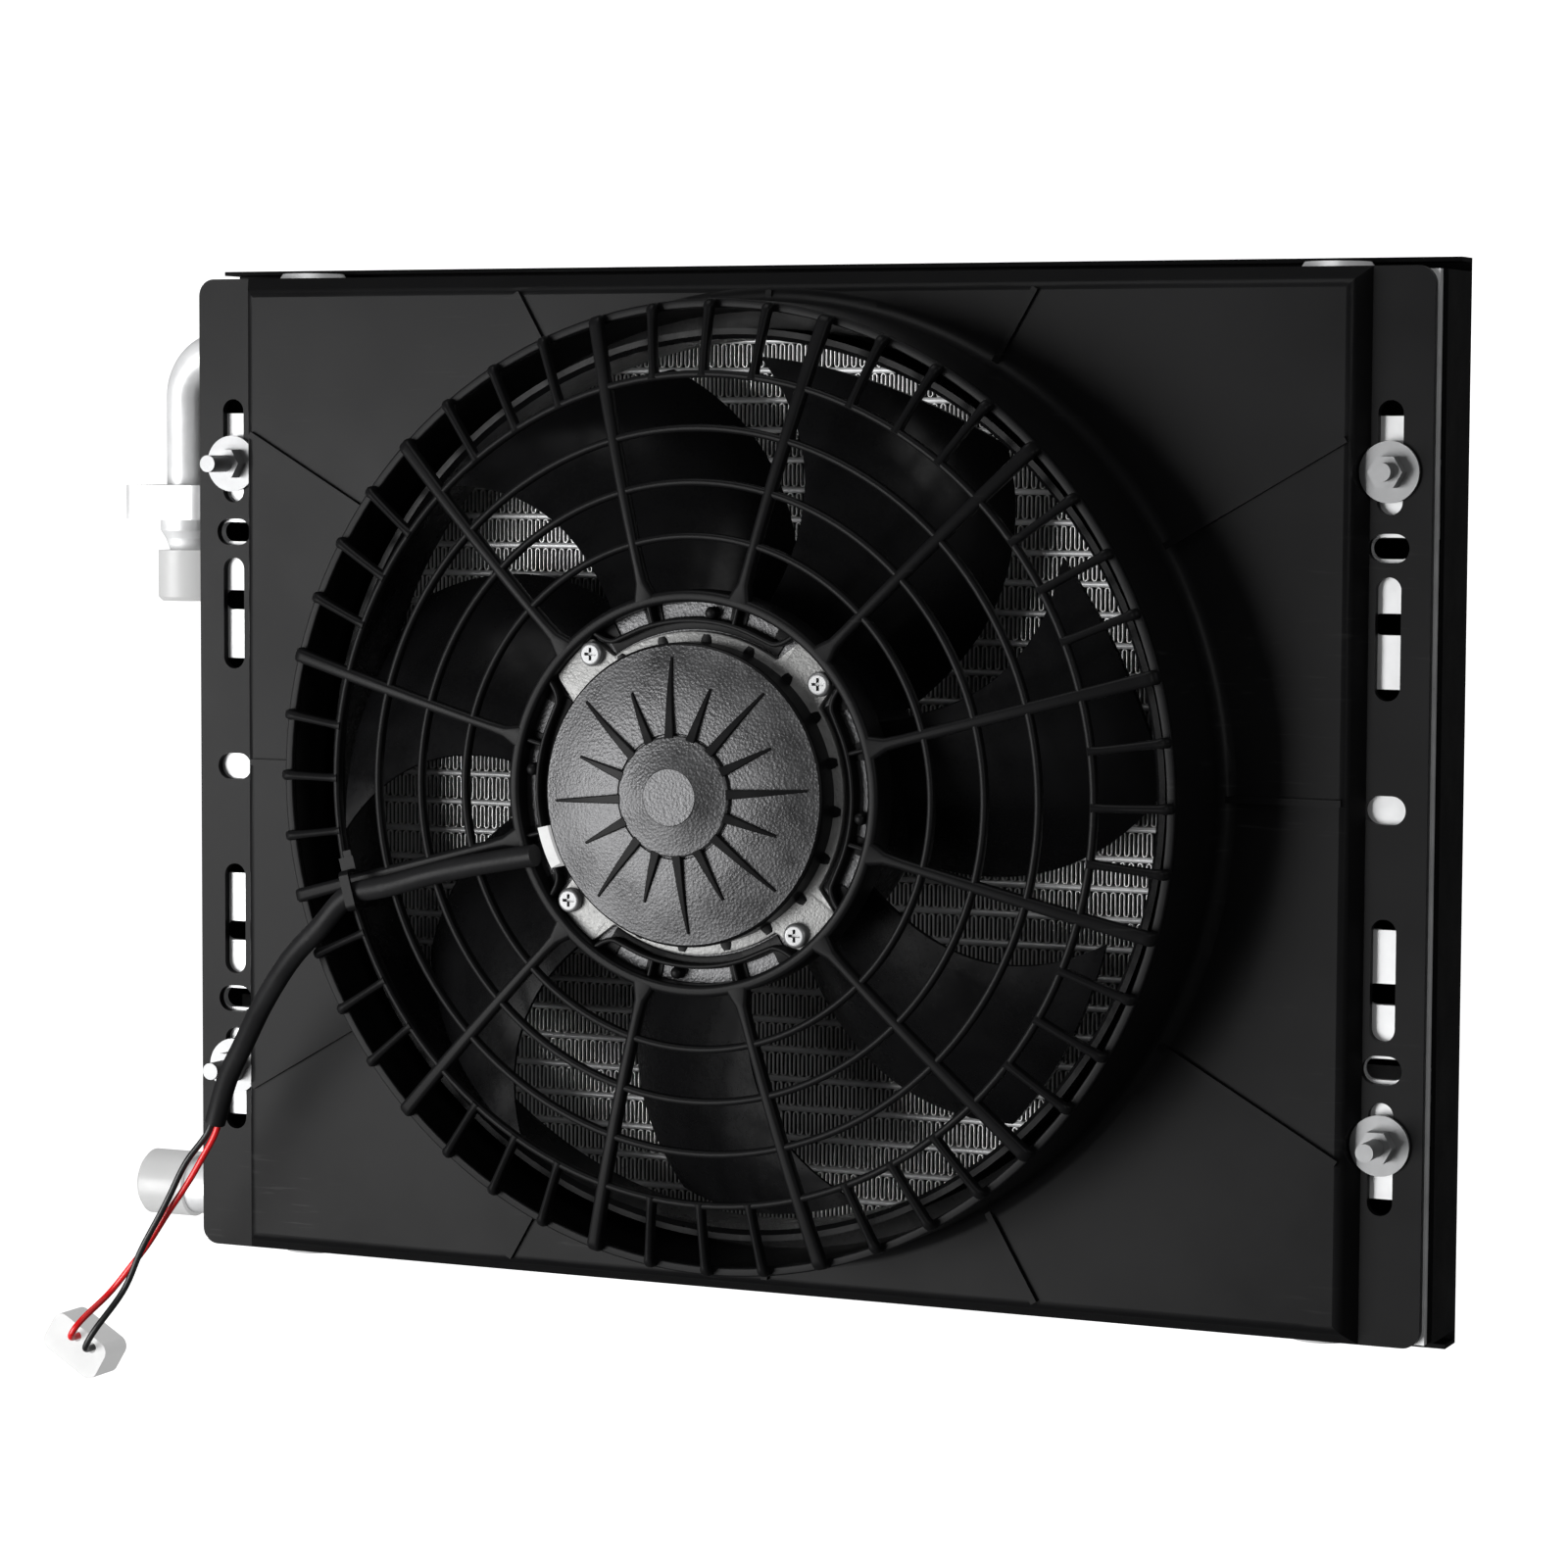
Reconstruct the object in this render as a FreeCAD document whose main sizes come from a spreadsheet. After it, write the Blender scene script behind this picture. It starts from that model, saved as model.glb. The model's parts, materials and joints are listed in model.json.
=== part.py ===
import FreeCAD, Part
import math
import os
import re
import sys

import Sketcher
from FreeCAD import Placement, Rotation, Vector

# Fan-cooled fluid cooler, in millimetres.
# World frame: X to the right, Y from the fan side to the back, Z up.
# The origin is the centre of the shroud flange's front face.
# Pieces that turn about the fan axis are drawn in a "facing" frame: its x is to the
# right, its y is up and its z comes out of the front of the cooler.

FACING = Rotation(Vector(1, 0, 0), 90)
UPRIGHT = Rotation()
CABLE_CLOCK = 255  # clock angle of the guard spoke that carries the cable

doc = FreeCAD.newDocument("cooler")
sheet = doc.addObject("Spreadsheet::Sheet", "Sizes")

DIMENSIONS = [
    # Shroud
    ("flange_w", 458, "shroud flange, overall width"),
    ("flange_tall", 350, "shroud flange, overall height"),
    ("flange_thk", 3, "shroud flange, thickness"),
    ("flange_corner", 6, "shroud flange, corner radius"),
    ("box_base_w", 417, "raised box, width at the flange"),
    ("box_face_w", 408, "raised box, width at its face"),
    ("box_face_tall", 340, "raised box, height at its face"),
    ("box_proud", 8, "raised box, height above the flange"),
    ("box_round", 3.5, "raised box, edge radius"),
    ("skin", 2.5, "shroud wall thickness"),
    ("stiffener_w", 2.2, "stiffening rib, width"),
    ("stiffener_proud", 1.4, "stiffening rib, height"),
    # Fan axis and collar
    ("fan_height", 2.4, "fan axis above the flange centre"),
    ("collar_rad", 162.3, "collar, outer radius"),
    ("collar_wall", 3, "collar, wall thickness"),
    ("collar_front", 52, "collar, front edge"),
    ("collar_foot", 5, "collar, foot fillet"),
    ("throat_rad", 149.5, "throat ring, inner radius"),
    ("throat_front", 37, "throat ring, front edge"),
    ("throat_back", 9, "throat ring, back edge"),
    # Guard
    ("hub_rad", 67, "guard hub band, outer radius"),
    ("hub_front", 70.2, "guard hub band, front edge"),
    ("hub_band", 2.5, "guard hub band, thickness"),
    ("rim_front", 58.7, "guard rim, front face"),
    ("rim_round", 3.5, "guard rim, bend radius"),
    ("dome", 2.2, "guard, bulge between hub and rim"),
    ("rib_deep", 4.5, "guard rib, depth"),
    ("spoke_w", 4.2, "guard main spoke, width"),
    ("rim_rib_w", 2.8, "guard rim rib, width"),
    ("guard_ring_w", 2.4, "guard ring, width"),
    ("guard_ring_deep", 3.6, "guard ring, depth"),
    ("inner_ring", 84.5, "guard ring nearest the motor, radius"),
    ("outer_ring", 137.5, "guard ring nearest the rim, radius"),
    ("seat_rad", 54.2, "motor seat, inner radius"),
    ("seat_front", 65, "motor seat, front face"),
    ("seat_back", 60, "motor seat, back face"),
    ("lug_back", 57, "motor lug, back face"),
    # Motor
    ("plate_rad", 53.4, "motor plate, radius"),
    ("plate_front", 66.5, "motor plate, front face"),
    ("ear_rad", 63.6, "motor plate ear, outer radius"),
    ("ear_span", 24, "motor plate ear, angle"),
    ("ear_lag", 5.5, "screw angle past the middle of its ear"),
    ("screw_pitch_rad", 58.4, "motor screws, pitch radius"),
    ("screw_clock", 50.5, "first motor screw, clock angle"),
    ("screw_rad", 1.6, "motor screw, shank radius"),
    ("screw_head_rad", 4.1, "motor screw, head radius"),
    ("screw_head_tall", 2.6, "motor screw, head height"),
    ("cover_rad", 50, "motor cover, radius"),
    ("cover_front", 76.4, "motor cover, rim height"),
    ("boss_rad", 19.8, "motor cover boss, radius"),
    ("boss_front", 83.4, "motor cover boss, base height"),
    ("cap_rad", 9.5, "motor cover boss, flat top radius"),
    ("cap_front", 86.3, "motor cover boss, top height"),
    ("can_rad", 48.5, "motor can, radius"),
    ("can_wall", 2, "motor can, wall"),
    ("can_back", 18, "motor can, back end"),
    ("shaft_rad", 4, "motor shaft, radius"),
    ("shaft_gap", 0.04, "shaft running clearance in its bushes"),
    ("bush_rad", 8, "shaft bush, outer radius"),
    ("core_rad", 32.5, "armature, radius"),
    ("commutator_rad", 11, "commutator, radius"),
    # Impeller
    ("blade_count", 7, "impeller blades"),
    ("cup_rad", 60, "impeller hub, outer radius"),
    ("cup_wall", 2.5, "impeller hub, wall"),
    ("cup_front", 51.5, "impeller hub, front edge"),
    ("cup_back", 11, "impeller hub, back face"),
    ("tip_rad", 144, "impeller blade tip, radius"),
    ("blade_thk", 2.6, "impeller blade, thickness"),
    ("root_chord", 60, "impeller blade, chord at the hub"),
    ("tip_chord", 90, "impeller blade, chord at the tip"),
    ("root_pitch", 38, "impeller blade, pitch angle at the hub"),
    ("tip_pitch", 22, "impeller blade, pitch angle at the tip"),
    ("blade_mid", 28, "impeller blade, height of its middle"),
    # Cable
    ("cable_aside", 4.6, "cable sleeve, distance from the middle of its spoke"),
    ("sleeve_dia", 7.4, "cable sleeve, diameter"),
    ("sleeve_bore", 5.8, "cable sleeve, bore at its open end"),
    ("lead_apart", 1.35, "lead, distance from the sleeve's centre line"),
    ("wire_dia", 2.3, "lead, diameter"),
    ("grommet_clock", 249, "cable grommet, clock angle of its middle"),
    ("grommet_span", 15, "cable grommet, angle"),
    ("plug_w", 25, "connector, width"),
    ("plug_tall", 15, "connector, height"),
    ("plug_deep", 14, "connector, depth"),
    ("plug_tilt", 31, "connector, droop angle"),
    ("plug_x", -257, "connector, centre in x"),
    ("plug_y", -36, "connector, centre in y"),
    ("plug_z", -208, "connector, centre in z"),
    ("lead_pitch", 7.2, "connector, distance between its leads"),
    # Fixing slots in the flange
    ("slot_x", 215, "fixing slots, distance from the centre line"),
    ("slot_w", 8.5, "fixing slots, width"),
    ("end_slot_z", 113.6, "end slot, height"),
    ("end_slot_long", 37, "end slot, length"),
    ("cross_slot_z", 84.5, "cross slot, height"),
    ("cross_slot_long", 13.6, "cross slot, length"),
    ("cross_slot_w", 9.4, "cross slot, width"),
    ("mid_slot_z", 55.3, "middle slot, height"),
    ("mid_slot_long", 40, "middle slot, length"),
    ("stud_z", 109, "shroud studs, height"),
    ("stud_rad", 3, "shroud stud, radius"),
    ("nut_af", 10, "shroud nut, across flats"),
    ("washer_rad", 10, "shroud washer, radius"),
    ("washer_room", 0.5, "clearance round a washer in the foot of the box"),
    # Core
    ("core_mid", 17, "core centre plane behind the flange face"),
    ("tube_count", 33, "flat tubes"),
    ("tube_pitch", 10.15, "flat tubes, pitch"),
    ("tube_thk", 2, "flat tube, thickness"),
    ("tube_deep", 20, "flat tube, depth"),
    ("fin_thk", 0.4, "fin strip, thickness"),
    ("fin_deep", 19, "fin strip, depth"),
    ("fin_pitch", 12.4, "fin strip, fold pitch of the plain solid"),
    ("header_x", 191.5, "headers, distance from the centre line"),
    ("header_rad", 12.5, "header, outer radius"),
    ("header_wall", 1.5, "header, wall"),
    ("header_tall", 348, "header, height"),
    ("end_cap_tall", 3, "header end cap, height"),
    ("side_plate_thk", 1.5, "core side plate, thickness"),
    # Rails and rear frame
    ("rail_thk", 3, "side rail, thickness"),
    ("rail_tall", 348, "side rail, height"),
    ("rail_out", 229.8, "side rail, outer edge from the centre line"),
    ("rail_slot_w", 7, "side rail, width of its slots"),
    ("window_w", 17, "side rail, width of its windows"),
    ("mid_window_z", 25.5, "side rail, height of its middle windows"),
    ("mid_window_tall", 27, "side rail, length of its middle windows"),
    ("end_window_z", 146, "side rail, height of its end windows"),
    ("end_window_tall", 38, "side rail, length of its end windows"),
    ("frame_w", 463, "rear frame, width"),
    ("frame_tall", 357, "rear frame, height"),
    ("web_tall", 348, "rear frame, height of its side webs"),
    ("frame_back", 34, "rear frame, back face"),
    ("side_lip", 40, "rear frame, width of its side strips"),
    ("end_lip", 22, "rear frame, height of its end strips"),
    ("end_flange", 12, "rear frame, depth of its top and bottom flanges"),
    ("lap", 20, "rear frame, overlap of end and side strips"),
    ("sheet_thk", 1.5, "rear frame, sheet thickness"),
    # Ports
    ("pipe_rad", 8, "port pipe, outer radius"),
    ("pipe_bore", 6.5, "port pipe, bore radius"),
    ("port_x", 244, "inlet port, distance from the centre line"),
    ("inlet_z", 149, "inlet pipe, height"),
    ("bend_rad", 16, "inlet pipe, bend radius"),
    ("block_top", 101, "inlet block, top"),
    ("block_tall", 12.5, "inlet block, height"),
    ("block_out", 21.5, "inlet block, left end from the pipe"),
    ("block_w", 33.8, "inlet block, width"),
    ("block_deep", 24, "inlet block, depth"),
    ("neck_rad", 7, "inlet neck, radius"),
    ("port_cap_tall", 18.5, "inlet port cap, height"),
    ("port_cap_rad", 11.3, "inlet port cap, radius"),
    ("outlet_z", 156.8, "outlet port, distance below the centre"),
    ("outlet_cap_rad", 11.9, "outlet port cap, radius"),
    ("outlet_cap_out", 261.5, "outlet port cap, outer face from the centre line"),
    ("cap_gap", 0.06, "port cap clearance on its neck"),
]

for row, (alias, size, meaning) in enumerate(DIMENSIONS, 1):
    sheet.set("A%d" % row, meaning)
    sheet.set("B%d" % row, str(size))
    sheet.setAlias("B%d" % row, alias)
doc.recompute()

ALIASES = {alias for alias, size, meaning in DIMENSIONS}
nodes = []


# ---------------------------------------------------------------- helpers

def rule(words):
    """An expression with every dimension name pointed at the sheet."""
    def pointed(word):
        return "Sizes." + word.group(0) if word.group(0) in ALIASES else word.group(0)
    return re.sub(r"[a-z_]+", pointed, str(words))


def size_of(words):
    """The present value of an expression."""
    found = sheet.evalExpression(rule(words))
    return float(getattr(found, "Value", found))


def bind(item, **sizes):
    """Tie properties to expressions. Double underscores stand for dots."""
    for name, words in sizes.items():
        item.setExpression(name.replace("__", "."), rule(words))
    return item


def place(item, at, turn=UPRIGHT):
    """Put an object at an expression-driven place."""
    item.Placement = Placement(Vector(*[size_of(part) for part in at]), turn)
    for axis, words in zip("xyz", at):
        item.setExpression("Placement.Base." + axis, rule(words))
    return item


def keep(item, label):
    """Name a finished piece and list it for export."""
    item.Label = label
    nodes.append(item)
    return item


def origin_part(body, role):
    return next(part for part in body.Origin.OriginFeatures if part.Role == role)


def new_body(name, at=(0, 0, 0), turn=UPRIGHT, several=False):
    body = doc.addObject("PartDesign::Body", name)
    body.AllowCompound = several
    place(body, at, turn)
    return body


def fan_body(name, several=False):
    """A body in the facing frame, on the fan axis."""
    return new_body(name, (0, 0, "fan_height"), FACING, several)


def new_sketch(body, plane="XY_Plane", lift=0, clock=0):
    """A sketch on one of the body's planes, lifted off it, or turned about its y axis."""
    sketch = body.newObject("Sketcher::SketchObject", body.Name + "_sketch")
    sketch.AttachmentSupport = [(origin_part(body, plane), "")]
    sketch.MapMode = "FlatFace"
    turn = Rotation(Vector(0, 1, 0), size_of(clock))
    sketch.AttachmentOffset = Placement(Vector(0, 0, size_of(lift)), turn)
    if lift:
        sketch.setExpression("AttachmentOffset.Base.z", rule(lift))
    return sketch


def pin_point(sketch, edge, end, x, y):
    """Hold one point of a sketch at expression-driven coordinates."""
    for kind, words in (("DistanceX", x), ("DistanceY", y)):
        where = sketch.addConstraint(Sketcher.Constraint(kind, -1, 1, edge, end, size_of(words)))
        if re.search("[a-z]", str(words)):
            sketch.setExpression("Constraints[%d]" % where, rule(words))


def add_outline(sketch, corners):
    """A closed outline. A corner written ("via", x, y) bends its edge into an arc."""
    ends = [corner for corner in corners if corner[0] != "via"]
    bends = {}
    seen = -1
    for corner in corners:
        if corner[0] == "via":
            bends[seen] = corner[1:]
        else:
            seen += 1
    spots = [Vector(size_of(x), size_of(y), 0) for x, y in ends]
    edges = []
    for number, spot in enumerate(spots):
        after = spots[(number + 1) % len(spots)]
        if number in bends:
            middle = Vector(size_of(bends[number][0]), size_of(bends[number][1]), 0)
            turns_left = (middle - spot).cross(after - middle).z > 0
            first, last = (spot, after) if turns_left else (after, spot)
            edge = sketch.addGeometry(Part.ArcOfCircle(first, middle, last), False)
            edges.append((edge, 1, 2) if turns_left else (edge, 2, 1))
        else:
            edges.append((sketch.addGeometry(Part.LineSegment(spot, after), False), 1, 2))
    for number, (edge, start, finish) in enumerate(edges):
        following, its_start, its_finish = edges[(number + 1) % len(edges)]
        sketch.addConstraint(Sketcher.Constraint("Coincident", edge, finish, following, its_start))
    for number, (edge, start, finish) in enumerate(edges):
        pin_point(sketch, edge, start, *ends[number])
        if number in bends:
            x, y = bends[number]
            guide = sketch.addGeometry(Part.Point(Vector(size_of(x), size_of(y), 0)), True)
            pin_point(sketch, guide, 1, x, y)
            sketch.addConstraint(Sketcher.Constraint("PointOnObject", guide, 1, edge))


def add_rectangle(sketch, x, y, width, height):
    """A rectangle about a centre."""
    left, right = "%s - (%s) / 2" % (x, width), "%s + (%s) / 2" % (x, width)
    low, high = "%s - (%s) / 2" % (y, height), "%s + (%s) / 2" % (y, height)
    add_outline(sketch, [(left, low), (right, low), (right, high), (left, high)])


def add_circle(sketch, x, y, radius):
    circle = Part.Circle(Vector(size_of(x), size_of(y), 0), Vector(0, 0, 1), size_of(radius))
    edge = sketch.addGeometry(circle, False)
    pin_point(sketch, edge, 3, x, y)
    where = sketch.addConstraint(Sketcher.Constraint("Radius", edge, size_of(radius)))
    if re.search("[a-z]", str(radius)):
        sketch.setExpression("Constraints[%d]" % where, rule(radius))


def add_slot(sketch, x, y, along, width, upright):
    """A round-ended slot, drawn as two straight sides and two half-round ends."""
    half, reach = "(%s) / 2" % width, "((%s) - (%s)) / 2" % (along, width)
    if upright:
        add_outline(sketch, [
            ("%s + %s" % (x, half), "%s - %s" % (y, reach)),
            ("%s + %s" % (x, half), "%s + %s" % (y, reach)),
            ("via", x, "%s + %s + %s" % (y, reach, half)),
            ("%s - %s" % (x, half), "%s + %s" % (y, reach)),
            ("%s - %s" % (x, half), "%s - %s" % (y, reach)),
            ("via", x, "%s - %s - %s" % (y, reach, half))])
    else:
        add_outline(sketch, [
            ("%s - %s" % (x, reach), "%s - %s" % (y, half)),
            ("%s + %s" % (x, reach), "%s - %s" % (y, half)),
            ("via", "%s + %s + %s" % (x, reach, half), y),
            ("%s + %s" % (x, reach), "%s + %s" % (y, half)),
            ("%s - %s" % (x, reach), "%s + %s" % (y, half)),
            ("via", "%s - %s - %s" % (x, reach, half), y)])


def solid_feature(body, kind, sketch, **settings):
    """A sketch-based feature. Text settings are expressions, the rest are plain values."""
    feature = body.newObject("PartDesign::" + kind, body.Name + "_" + kind.lower())
    feature.Profile = sketch
    for name, setting in settings.items():
        if isinstance(setting, str) and name in ("Length", "Angle"):
            setattr(feature, name, size_of(setting))
            feature.setExpression(name, rule(setting))
        else:
            setattr(feature, name, setting)
    sketch.Visibility = False
    return feature


def pad(body, sketch, length, **settings):
    return solid_feature(body, "Pad", sketch, Length=str(length), **settings)


def pocket(body, sketch, length, **settings):
    """A pocket that must remove material, or the build stops."""
    doc.recompute()
    before = body.Shape.Volume
    feature = solid_feature(body, "Pocket", sketch, Length=str(length), **settings)
    doc.recompute()
    if not feature.Shape.Volume < before - 1e-6:
        sys.exit(body.Name + ": a pocket cuts nothing")
    return feature


def turn_profile(body, corners, kind="Revolution", clock=0, angle=360):
    """Revolve an outline of (radius, height) corners about the body's z axis."""
    sketch = new_sketch(body, "XZ_Plane", clock=clock)
    add_outline(sketch, corners)
    feature = solid_feature(body, kind, sketch, Angle=str(angle))
    feature.ReferenceAxis = (sketch, ["V_Axis"])
    feature.Midplane = angle != 360
    return feature


def polar(body, feature, count, kind_axis="Z_Axis"):
    pattern = body.newObject("PartDesign::PolarPattern", body.Name + "_polar")
    pattern.Originals = [feature]
    pattern.Axis = (origin_part(body, kind_axis), [""])
    pattern.Angle = 360
    pattern.Occurrences = int(size_of(count))
    pattern.Refine = False
    body.Tip = pattern
    return pattern


def row_of(body, feature, axis, step, count):
    """Repeat a feature along one axis of its body."""
    pattern = body.newObject("PartDesign::LinearPattern", body.Name + "_row")
    pattern.Originals = [feature]
    pattern.Direction = (origin_part(body, axis), [""])
    pattern.Length = size_of(step) * (size_of(count) - 1)
    pattern.setExpression("Length", rule("(%s) * ((%s) - 1)" % (step, count)))
    pattern.Occurrences = int(size_of(count))
    body.Tip = pattern
    return pattern


def round_edges(body, radius, wanted):
    """Fillet the edges of the body's last feature that pass the wanted() test."""
    doc.recompute()
    base = body.Tip
    names = ["Edge%d" % (n + 1) for n, edge in enumerate(base.Shape.Edges) if wanted(edge)]
    feature = body.newObject("PartDesign::Fillet", body.Name + "_fillet")
    feature.Base = (base, names)
    feature.Radius = size_of(radius)
    feature.setExpression("Radius", rule(radius))
    body.Tip = feature
    return feature


def flat_at(height, slack=0.01):
    """A test for edges that lie wholly at one height of their body."""
    return lambda edge: abs(edge.BoundBox.ZMin - height) < slack and abs(edge.BoundBox.ZMax - height) < slack


def cylinder(name, radius, tall, at, turn=UPRIGHT):
    item = bind(doc.addObject("Part::Cylinder", name), Radius=radius, Height=tall)
    return place(item, at, turn)


def block(name, along, deep, tall, at):
    """A box by its sizes and its lowest corner."""
    item = bind(doc.addObject("Part::Box", name), Length=along, Width=deep, Height=tall)
    return place(item, at)


def prism(name, across_flats, tall, at, turn=UPRIGHT):
    item = bind(doc.addObject("Part::Prism", name), Circumradius="(%s) / sqrt(3)" % across_flats, Height=tall)
    item.Polygon = 6
    return place(item, at, turn)


def cut(name, base, tool):
    item = doc.addObject("Part::Cut", name)
    item.Base, item.Tool = base, tool
    return item


def join(name, pieces):
    item = doc.addObject("Part::MultiFuse", name)
    item.Shapes = pieces
    return item


def group(name, pieces):
    item = doc.addObject("Part::Compound", name)
    item.Links = pieces
    return item


def clock_point(radius, clock):
    """Expressions for a point at a clock angle, in degrees from the top."""
    return "(%s) * sin((%s) * 1 deg)" % (radius, clock), "(%s) * cos((%s) * 1 deg)" % (radius, clock)


def guard_front(radius):
    """Height of the guard's domed front at a radius, as an expression."""
    share = "((%s) - hub_rad) / (collar_rad - rim_round - hub_rad)" % radius
    return "hub_front + (rim_front - hub_front) * %s + 4 * dome * %s * (1 - %s)" % (share, share, share)


# ---------------------------------------------------------------- shroud

def shroud_slots():
    """Places and sizes of every opening in the flange: x, z, length, width, upright."""
    for side in (-1, 1):
        x = "%d * slot_x" % side
        yield x, "0", "cross_slot_long", "cross_slot_w", False
        for end in (-1, 1):
            yield x, "%d * end_slot_z" % end, "end_slot_long", "slot_w", True
            yield x, "%d * cross_slot_z" % end, "cross_slot_long", "cross_slot_w", False
            yield x, "%d * mid_slot_z" % end, "mid_slot_long", "slot_w", True


def make_shroud():
    """Moulded flange, raised box, collar, stiffening ribs and fixing slots."""
    body = fan_body("Shroud")
    centre = "0 - fan_height"

    flange = new_sketch(body)
    add_rectangle(flange, "0", centre, "flange_w", "flange_tall")
    pad(body, flange, "flange_thk", Reversed=True)
    upright = lambda edge: edge.BoundBox.ZLength > size_of("flange_thk") - 0.01
    round_edges(body, "flange_corner", upright)

    foot = new_sketch(body)
    add_rectangle(foot, "0", centre, "box_base_w", "flange_tall")
    face = new_sketch(body, lift="box_proud")
    add_rectangle(face, "0", centre, "box_face_w", "box_face_tall")
    loft = solid_feature(body, "AdditiveLoft", foot)
    loft.Sections = [face]
    round_edges(body, "box_round", flat_at(size_of("box_proud")))

    inner = "collar_rad - collar_wall"
    turn_profile(body, [
        (inner, "box_proud - skin"), ("collar_rad + collar_foot", "box_proud - skin"),
        ("collar_rad + collar_foot", "box_proud"),
        ("via", "collar_rad + 0.2929 * collar_foot", "box_proud + 0.2929 * collar_foot"),
        ("collar_rad", "box_proud + collar_foot"), ("collar_rad", "collar_front"), (inner, "collar_front")])

    plenum = new_sketch(body, lift="0 - flange_thk")
    add_rectangle(plenum, "0", centre, "box_face_w - 2 * skin", "box_face_tall - 2 * skin")
    pocket(body, plenum, "flange_thk + box_proud - skin", Reversed=True)
    mouth = new_sketch(body, lift="0 - flange_thk")
    add_circle(mouth, "0", "0", inner)
    pocket(body, mouth, "flange_thk + collar_front + 1", Reversed=True)

    stiffeners = new_sketch(body, lift="box_proud - 1.5")
    for clock in range(0, 360, 30):
        add_outline(stiffeners, stiffener_corners(clock))
    pad(body, stiffeners, "stiffener_proud + 1.5")

    reliefs = new_sketch(body)
    for side in (-1, 1):
        for end in (-1, 1):
            add_circle(
                reliefs, "%d * slot_x" % side, "%d * stud_z - fan_height" % end, "washer_rad + washer_room")
    pocket(body, reliefs, "box_proud", Reversed=True)

    slots = new_sketch(body)
    for x, z, along, width, is_upright in shroud_slots():
        add_slot(slots, x, "%s - fan_height" % z, along, width, is_upright)
    pocket(body, slots, "flange_thk")
    return keep(body, "fan_shroud")


def stiffener_corners(clock):
    """Four corners of a radial rib from the collar's foot to the edge of the box face."""
    across, up = abs(math.sin(math.radians(clock))), math.cos(math.radians(clock))
    side_reach = size_of("box_face_w / 2 - 1.2") / max(across, 1e-9)
    end_gap = size_of("box_face_tall / 2 - 1.2") - math.copysign(size_of("fan_height"), up)
    end_reach = end_gap / max(abs(up), 1e-9)
    if side_reach < end_reach:
        reach = "(box_face_w / 2 - 1.2) / %.6f" % across
    else:
        side = "-" if up > 0 else "+"
        reach = "(box_face_tall / 2 - 1.2 %s fan_height) / %.6f" % (side, abs(up))
    corners = []
    for radius, side in (("collar_rad - 1", -1), (reach, -1), (reach, 1), ("collar_rad - 1", 1)):
        x, y = clock_point(radius, clock)
        dx, dy = clock_point("%d * stiffener_w / 2" % side, clock + 90)
        corners.append(("%s + %s" % (x, dx), "%s + %s" % (y, dy)))
    return corners


def make_throat_ring():
    """Thin bell-mouth inside the collar, just outside the blade tips."""
    body = fan_body("Throat")
    inner = "collar_rad - collar_wall"
    turn_profile(body, [
        ("throat_rad", "throat_back"), (inner, "throat_back"), (inner, "throat_back + 3"),
        ("throat_rad + 4", "throat_back + 3"), ("throat_rad + 2", "throat_back + 5"),
        ("throat_rad + 2", "throat_front - 2"), ("throat_rad + 3.5", "throat_front"),
        ("throat_rad + 1.5", "throat_front"), ("throat_rad", "throat_front - 2")])
    return keep(body, "throat_ring")


# ---------------------------------------------------------------- guard

def guard_rib(body, start, width, clock, count):
    """A domed rib from a start radius to the rim, bent back there onto the collar."""
    middle = "((%s) + collar_rad) / 2" % start
    top, under = guard_front(middle), "%s - rib_deep" % guard_front(middle)
    knee = "collar_rad - rim_round"
    sketch = new_sketch(body, "XZ_Plane", clock=clock)
    add_outline(sketch, [
        (start, guard_front(start)), ("via", middle, top), (knee, "rim_front"),
        ("via", "collar_rad - 0.2929 * rim_round", "rim_front - 0.2929 * rim_round"),
        ("collar_rad", "rim_front - rim_round"), ("collar_rad", "collar_front"),
        ("collar_rad - collar_wall", "collar_front"), (knee, "rim_front - rib_deep"),
        ("via", middle, under), (start, "%s - rib_deep" % guard_front(start))])
    return polar(body, pad(body, sketch, width, Midplane=True), count)


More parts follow.
